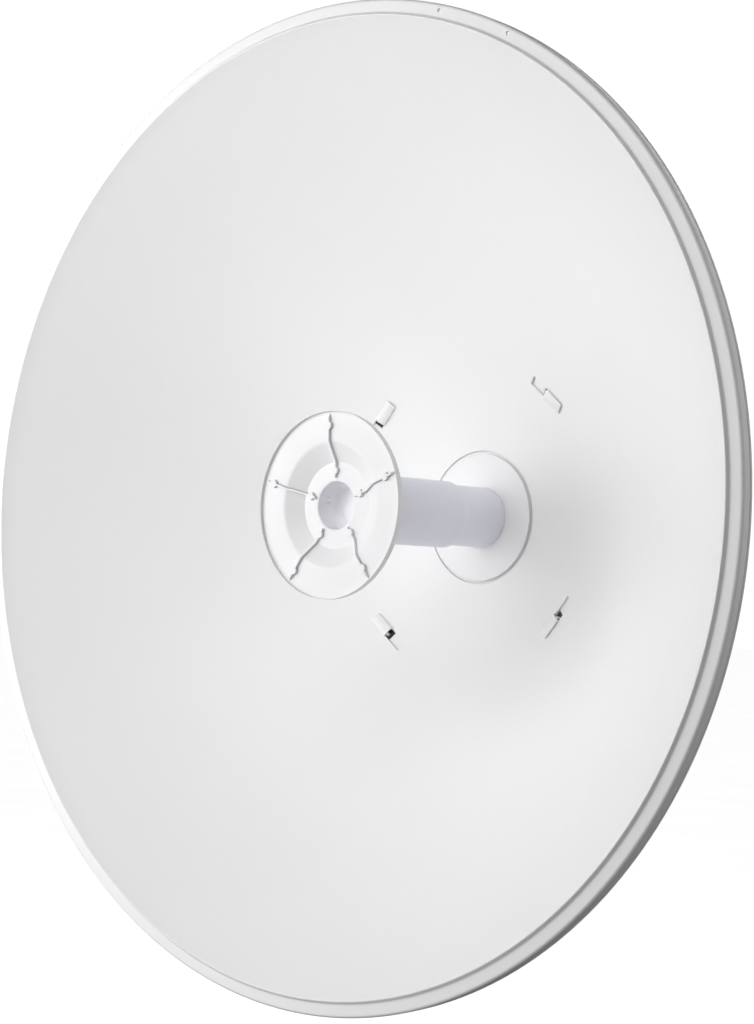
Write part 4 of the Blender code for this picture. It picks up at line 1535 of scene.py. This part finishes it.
@dataclass
class Fasteners(Assembly):
    """The bolts, nuts and jaws, with their threads, chamfers and teeth."""

    bolt: float = 4.0 * MM
    pitch: float = 1.25 * MM
    thread_depth: float = 0.45 * MM
    thread_sides: int = 32
    hexagon: float = 7.5 * MM
    nut_height: float = 6.4 * MM
    head_height: float = 5.3 * MM
    chamfer: float = 0.7 * MM
    dome_radius: float = 8.5 * MM
    dome_height: float = 4.8 * MM
    bare_shank: float = 14.0 * MM
    mast_radius: float = 25.4 * MM
    jaw_sheet: float = 4.0 * MM
    jaw_half_angle: float = 60.0
    jaw_teeth: int = 6

    def threaded(self, start: float, end: float, plain: float = 0.0) -> Object:
        """A threaded shank along local Y.

        Args:
            start: Y of its first end.
            end: Y of its last end, which is chamfered.
            plain: length that has no thread, from the start.

        Returns:
            The shank.
        """
        core = self.bolt - self.thread_depth
        crown = self.bolt - 0.05 * MM
        profile: list[Point] = [(0.0, start), (self.bolt, start)]
        first = start + plain
        if plain:
            profile.append((self.bolt, first - 0.4 * self.pitch))
        for turn in range(int((end - first - MM) / self.pitch)):
            y = first + turn * self.pitch
            profile += [(core, y), (core, y + 0.12 * self.pitch)]
            profile += [(crown, y + 0.5 * self.pitch), (crown, y + 0.62 * self.pitch)]
        profile += [(core, end - 0.7 * MM), (core - 0.6 * MM, end), (0.0, end)]
        return lathe("thread", profile, self.thread_sides)

    def hex_block(self, radius: float, start: float, end: float, chamfer: float) -> Object:
        """A hexagon along local Y whose corners are turned off at both ends.

        Args:
            radius: distance to its corners.
            start: Y of its first end.
            end: Y of its last end.
            chamfer: how deep the corners are turned off.

        Returns:
            The hexagon.
        """
        body = rod("hexagon", radius, Vector((0.0, start, 0.0)), Vector((0.0, end, 0.0)), 6)
        flat = radius * math.cos(math.radians(30.0)) * 0.97
        corner = radius * 1.01
        profile = [(0.0, start), (flat, start), (corner, start + chamfer)]
        profile += [(corner, end - chamfer), (flat, end), (0.0, end)]
        return combine(body, lathe("turned", profile, 48), Operation.COMMON)

    def dome(self, start: float) -> Object:
        """The low domed head of a carriage bolt, its top at a local Y."""
        rise = self.dome_height - 0.9 * MM
        turns = [math.radians(angle) for angle in spread(0.0, 90.0, 10)]
        profile = [(self.dome_radius * math.sin(a), start + rise * (1 - math.cos(a))) for a in turns]
        seat = start + self.dome_height
        return lathe("dome", [*profile, (self.dome_radius, seat), (0.0, seat)], 48)

    def on_nodes(self, old: str, new: str) -> list[tuple[str, Matrix, str]]:
        """Places of copies about the Y axes of like nodes.

        Args:
            old: how the nodes' names start.
            new: how the copies' names start instead.

        Returns:
            Each copy's name, frame and node.
        """
        places = []
        for node in nodes_named(old):
            centre = node_centre(node)
            frame = Matrix.Translation((centre.x, 0.0, centre.z))
            places.append((node.replace(old, new), frame, node))
        return places

    def build(self) -> None:
        """Build the pan bolts, the side bolts, the clamp and the earthing screw."""
        self.build_pan_bolts()
        self.build_clamp_bolts()
        self.build_clamp_nuts()
        self.build_side_bolts()
        self.build_jaws()
        self.build_earth_screw()

    def build_pan_bolts(self) -> None:
        """Carriage bolts through the pan, with nuts behind the bracket."""
        low, high = node_box("pan_bolt_upper_left")
        nut = node_box("elevation_bracket")[0].y + Brackets.sheet + SEAT
        bolt = self.dome(low.y)
        combine(bolt, self.threaded(low.y + self.dome_height - MM, high.y), Operation.UNION)
        hexagon = self.hex_block(self.hexagon, nut, nut + self.nut_height, self.chamfer)
        combine(bolt, hexagon, Operation.UNION)
        self.dress_copies(smooth(bolt, 30.0), "zinc", self.on_nodes("pan_bolt", "plate_bolt"))

    def build_clamp_bolts(self) -> None:
        """Long carriage bolts through the mast bracket."""
        low, high = node_box("clamp_bolt_upper_left")
        shank = self.threaded(low.y + self.dome_height - MM, high.y, self.bare_shank)
        bolt = combine(self.dome(low.y), shank, Operation.UNION)
        self.dress_copies(smooth(bolt, 30.0), "zinc", self.on_nodes("clamp_bolt", "mast_bolt"))

    def build_clamp_nuts(self) -> None:
        """The nuts behind the jaws' ears."""
        low, high = node_box("clamp_nut_upper_left")
        nut = self.hex_block(self.hexagon, low.y, high.y, self.chamfer)
        middle = Vector((0.0, (low.y + high.y) / 2, 0.0))
        combine(nut, drill(self.bolt + 0.08 * MM, middle, THROUGH, 48), Operation.CUT)
        self.dress_copies(smooth(nut), "zinc", self.on_nodes("clamp_nut", "mast_nut"))

    def build_side_bolts(self) -> None:
        """Hexagon bolts through the cheeks, with their nuts inside."""
        low, high = node_box("pivot_bolt_left")
        long = high.x - low.x
        nut = long - 3.0 * MM - self.nut_height
        bolt = self.hex_block(self.hexagon, 0.0, self.head_height, self.chamfer)
        combine(bolt, self.threaded(self.head_height - MM, long), Operation.UNION)
        nut_block = self.hex_block(self.hexagon, nut, nut + self.nut_height, self.chamfer)
        combine(bolt, nut_block, Operation.UNION)
        places = []
        for side in Side:
            turn = Matrix.Rotation(side.value * math.pi / 2, 4, "Z")
            for kind in ("pivot", "lock"):
                node = f"{kind}_bolt_{side.name.lower()}"
                low, high = node_box(node)
                centre = (low + high) / 2
                outer = high.x if side is Side.RIGHT else low.x
                frame = Matrix.Translation((outer, centre.y, centre.z)) @ turn
                places.append((f"{kind}_hex_bolt_{side.name.lower()}", frame, node))
        self.dress_copies(smooth(bolt, 30.0), "zinc", places)

    def jaw(self) -> Object:
        """A V jaw with rounded bends, centred on its height, with its bolt holes."""
        low, high = node_box("clamp_jaw_upper")
        half = (high.z - low.z) / 2
        slant = math.radians(self.jaw_half_angle)
        apex = self.mast_radius + self.mast_radius / math.sin(slant)
        depth = apex - low.y
        knee = depth * math.tan(slant)
        jaw = block("jaw", Vector((low.x, low.y, -half)), Vector((-knee, low.y + self.jaw_sheet, half)))
        ear = Vector((high.x - knee, 0.0, 0.0))
        extend(jaw, (Vector((knee, depth, 0.0)), Vector((knee, -depth, 0.0)), ear))
        round_edges(jaw, 0.5 * MM, 3, 20.0)
        teeth = []
        up = Vector((0.0, 0.0, half - MM))
        for side in Side:
            for share in spread(0.25, 0.85, self.jaw_teeth - 1):
                place = Vector((side.value * knee * (1 - share), low.y + depth * share, 0.0))
                teeth.append(drill(1.1 * MM, place, up, 4))
        combine(jaw, join_all(teeth, "teeth"), Operation.UNION)
        x = node_centre("clamp_bolt_upper_right").x
        places = [Vector((side.value * x, low.y, 0.0)) for side in Side]
        holes = [drill(self.bolt + SEAT, place, THROUGH) for place in places]
        return combine(jaw, join_all(holes, "holes"), Operation.CUT)

    def build_jaws(self) -> None:
        """The two jaws that grip the mast."""
        places = []
        for level in Level:
            node = f"clamp_jaw_{level.name.lower()}"
            frame = Matrix.Translation((0.0, 0.0, node_centre(node).z))
            places.append((f"mast_jaw_{level.name.lower()}", frame, node))
        self.dress_copies(smooth(self.jaw()), "jaw", places)

    def build_earth_screw(self) -> None:
        """The earthing screw on the right cheek, slotted, with its washer."""
        low, high = node_box("ground_screw")
        centre = (low + high) / 2
        head = 3.0 * MM
        screw = self.hex_block(5.8 * MM, 0.0, head - 0.8 * MM, 0.4 * MM)
        washer = rod("washer", 5.7 * MM, Vector((0.0, head - MM, 0.0)), Vector((0.0, head, 0.0)), 24)
        shank = rod("shank", 3.0 * MM, Vector((0.0, head / 2, 0.0)), Vector((0.0, high.x - low.x, 0.0)), 32)
        for other in (washer, shank):
            combine(screw, other, Operation.UNION)
        half = Vector((0.6 * MM, 1.1 * MM, 6.0 * MM))
        combine(screw, block("slot", -half, half), Operation.CUT)
        frame = Matrix.Translation((high.x, centre.y, centre.z)) @ Matrix.Rotation(math.pi / 2, 4, "Z")
        self.dress(smooth(rename(move_to(screw, frame), "earth_screw")), "zinc", "ground_screw")


@dataclass(frozen=True)
class SoftBox:
    """A square soft box that faces the dish."""

    name: str
    azimuth: float
    elevation: float
    distance: float
    size: float
    level: float

    def build(self, target: Vector) -> None:
        """Hang the soft box and aim it.

        Args:
            target: the point that it faces.
        """
        full_white = 3.0 * math.pi * self.distance ** 2
        away = direction(self.azimuth, self.elevation)
        data = bpy.data.lights.new(self.name, "AREA")
        data.shape = "SQUARE"
        data.size = self.size
        data.energy = self.level * full_white
        lamp = bpy.data.objects.new(self.name, data)
        lamp.location = target + away * self.distance
        lamp.rotation_euler = (-away).to_track_quat("-Z", "Y").to_euler()
        bpy.context.scene.collection.objects.link(lamp)


@dataclass
class Studio:
    """The floor, the soft lights and the camera at the photograph's angle."""

    width: int = 754
    height: int = 1024
    yaw: float = 42.128
    pitch: float = -2.088
    roll: float = 2.614
    distance: float = 1.6
    focal_pixels: float = 2445.7
    axis_pixel: tuple[float, float] = (377.69, 500.71)
    aim: tuple[float, float, float] = (9.25 * MM, -236.0 * MM, 4.90 * MM)
    sensor: float = 36.0
    floor_z: float = -0.9
    floor_sun: float = 3.7
    floor_sun_angle: float = 40.0
    target: tuple[float, float, float] = (0.0, -0.2, 0.0)
    boxes: tuple[SoftBox, ...] = (
        SoftBox("key_upper", -20.0, 20.0, 0.9, 0.5, 0.260),
        SoftBox("key_left", -36.0, 15.0, 0.9, 0.5, 0.209),
        SoftBox("key_lower", -20.0, -10.0, 0.9, 0.5, 0.175),
        SoftBox("left_edge", -60.0, 0.0, 0.9, 0.5, 0.212),
        SoftBox("high_front", 15.0, 35.0, 1.3, 0.8, 0.206),
        SoftBox("low_left", -45.0, -25.0, 1.3, 0.8, 0.139),
        SoftBox("low_front", 0.0, -35.0, 1.5, 1.2, 0.110),
        SoftBox("right", 45.0, 0.0, 2.5, 2.0, 0.109),
        SoftBox("below", -10.0, -60.0, 1.5, 1.2, 0.066),
        SoftBox("rear", 186.0, 18.0, 2.6, 1.8, 0.55),
        SoftBox("rear_left", -125.0, 8.0, 2.0, 1.6, 0.35),
        SoftBox("rear_right", 125.0, 8.0, 2.0, 1.6, 0.35),
    )
    world_level: float = 0.01
    backdrop_level: float = 1.05

    def build(self) -> None:
        """Build the studio."""
        self.build_camera()
        self.build_floor()
        for box in self.boxes:
            box.build(Vector(self.target))
        self.build_world()

    def build_camera(self) -> None:
        """Place the camera and give it the photograph's framing."""
        roll = math.radians(self.roll)
        away = direction(self.yaw, self.pitch)
        forward = -away
        right = forward.cross(Vector((0.0, 0.0, 1.0))).normalized()
        up = right.cross(forward)
        turned = right * math.cos(roll) + up * math.sin(roll)
        upright = up * math.cos(roll) - right * math.sin(roll)
        data = bpy.data.cameras.new("camera")
        data.sensor_width = self.sensor
        data.lens = self.focal_pixels / self.height * self.sensor
        data.shift_x = (self.width / 2 - self.axis_pixel[0]) / self.height
        data.shift_y = (self.axis_pixel[1] - self.height / 2) / self.height
        camera = bpy.data.objects.new("camera", data)
        bpy.context.scene.collection.objects.link(camera)
        axes = Matrix((turned, upright, -forward)).transposed().to_4x4()
        camera.matrix_world = Matrix.Translation(Vector(self.aim) + away * self.distance) @ axes
        bpy.context.scene.camera = camera

    def build_floor(self) -> None:
        """A wide, plain, pale floor below the dish, lit by a soft sun of its own."""
        clear_selection()
        bpy.ops.mesh.primitive_plane_add(size=80.0, location=(0.0, 0.0, self.floor_z))
        floor = fix_place(rename(bpy.context.object, "studio_floor"))
        sheet = NodeSheet("floor_paper")
        sheet.fix("Roughness", 0.9)
        sheet.tint(sheet.noise(3.0, 2.0), (0.86, 0.86, 0.86), (0.88, 0.88, 0.88))
        floor.data.materials.append(sheet.material)
        floor.visible_diffuse = False
        floor.visible_glossy = False
        floor.visible_shadow = False
        data = bpy.data.lights.new("floor_sun", "SUN")
        data.energy = self.floor_sun
        data.angle = math.radians(self.floor_sun_angle)
        lamp = bpy.data.objects.new("floor_sun", data)
        bpy.context.scene.collection.objects.link(lamp)
        lit = bpy.data.collections.new("lit_by_floor_sun")
        lit.objects.link(floor)
        lamp.light_linking.receiver_collection = lit

    def build_world(self) -> None:
        """A white surround behind the dish, which lights it only faintly."""
        scene = bpy.context.scene
        scene.view_settings.view_transform = "Standard"
        world = bpy.data.worlds.new("studio_white")
        scene.world = world
        world.use_nodes = True
        tree = world.node_tree
        background = tree.nodes["Background"]
        background.inputs["Color"].default_value = (1.0, 1.0, 1.0, 1.0)
        path = tree.nodes.new("ShaderNodeLightPath")
        level = tree.nodes.new("ShaderNodeMapRange")
        level.inputs["To Min"].default_value = self.world_level
        level.inputs["To Max"].default_value = self.backdrop_level
        tree.links.new(path.outputs["Is Camera Ray"], level.inputs["Value"])
        tree.links.new(level.outputs["Result"], background.inputs["Strength"])


def main() -> None:
    """Build the antenna's looks in order, then the studio."""
    logging.basicConfig(level=logging.INFO, format="%(message)s", stream=sys.stdout)
    finishes = Finishes().build()
    bowl = Bowl(edge_y=node_box("reflector")[0].y)
    fronts: tuple[type[Assembly], ...] = (Reflector, LatchHooks, Feed, SubReflector)
    backs: tuple[type[Assembly], ...] = (BackPan, Brackets, Fasteners)
    for group in (*fronts, *backs):
        assembly = group(finishes=finishes, bowl=bowl)
        assembly.build()
        LOG.info("%s: %d pieces", group.__name__, len(assembly.made))
    Studio().build()


if __name__ == "__main__":
    main()
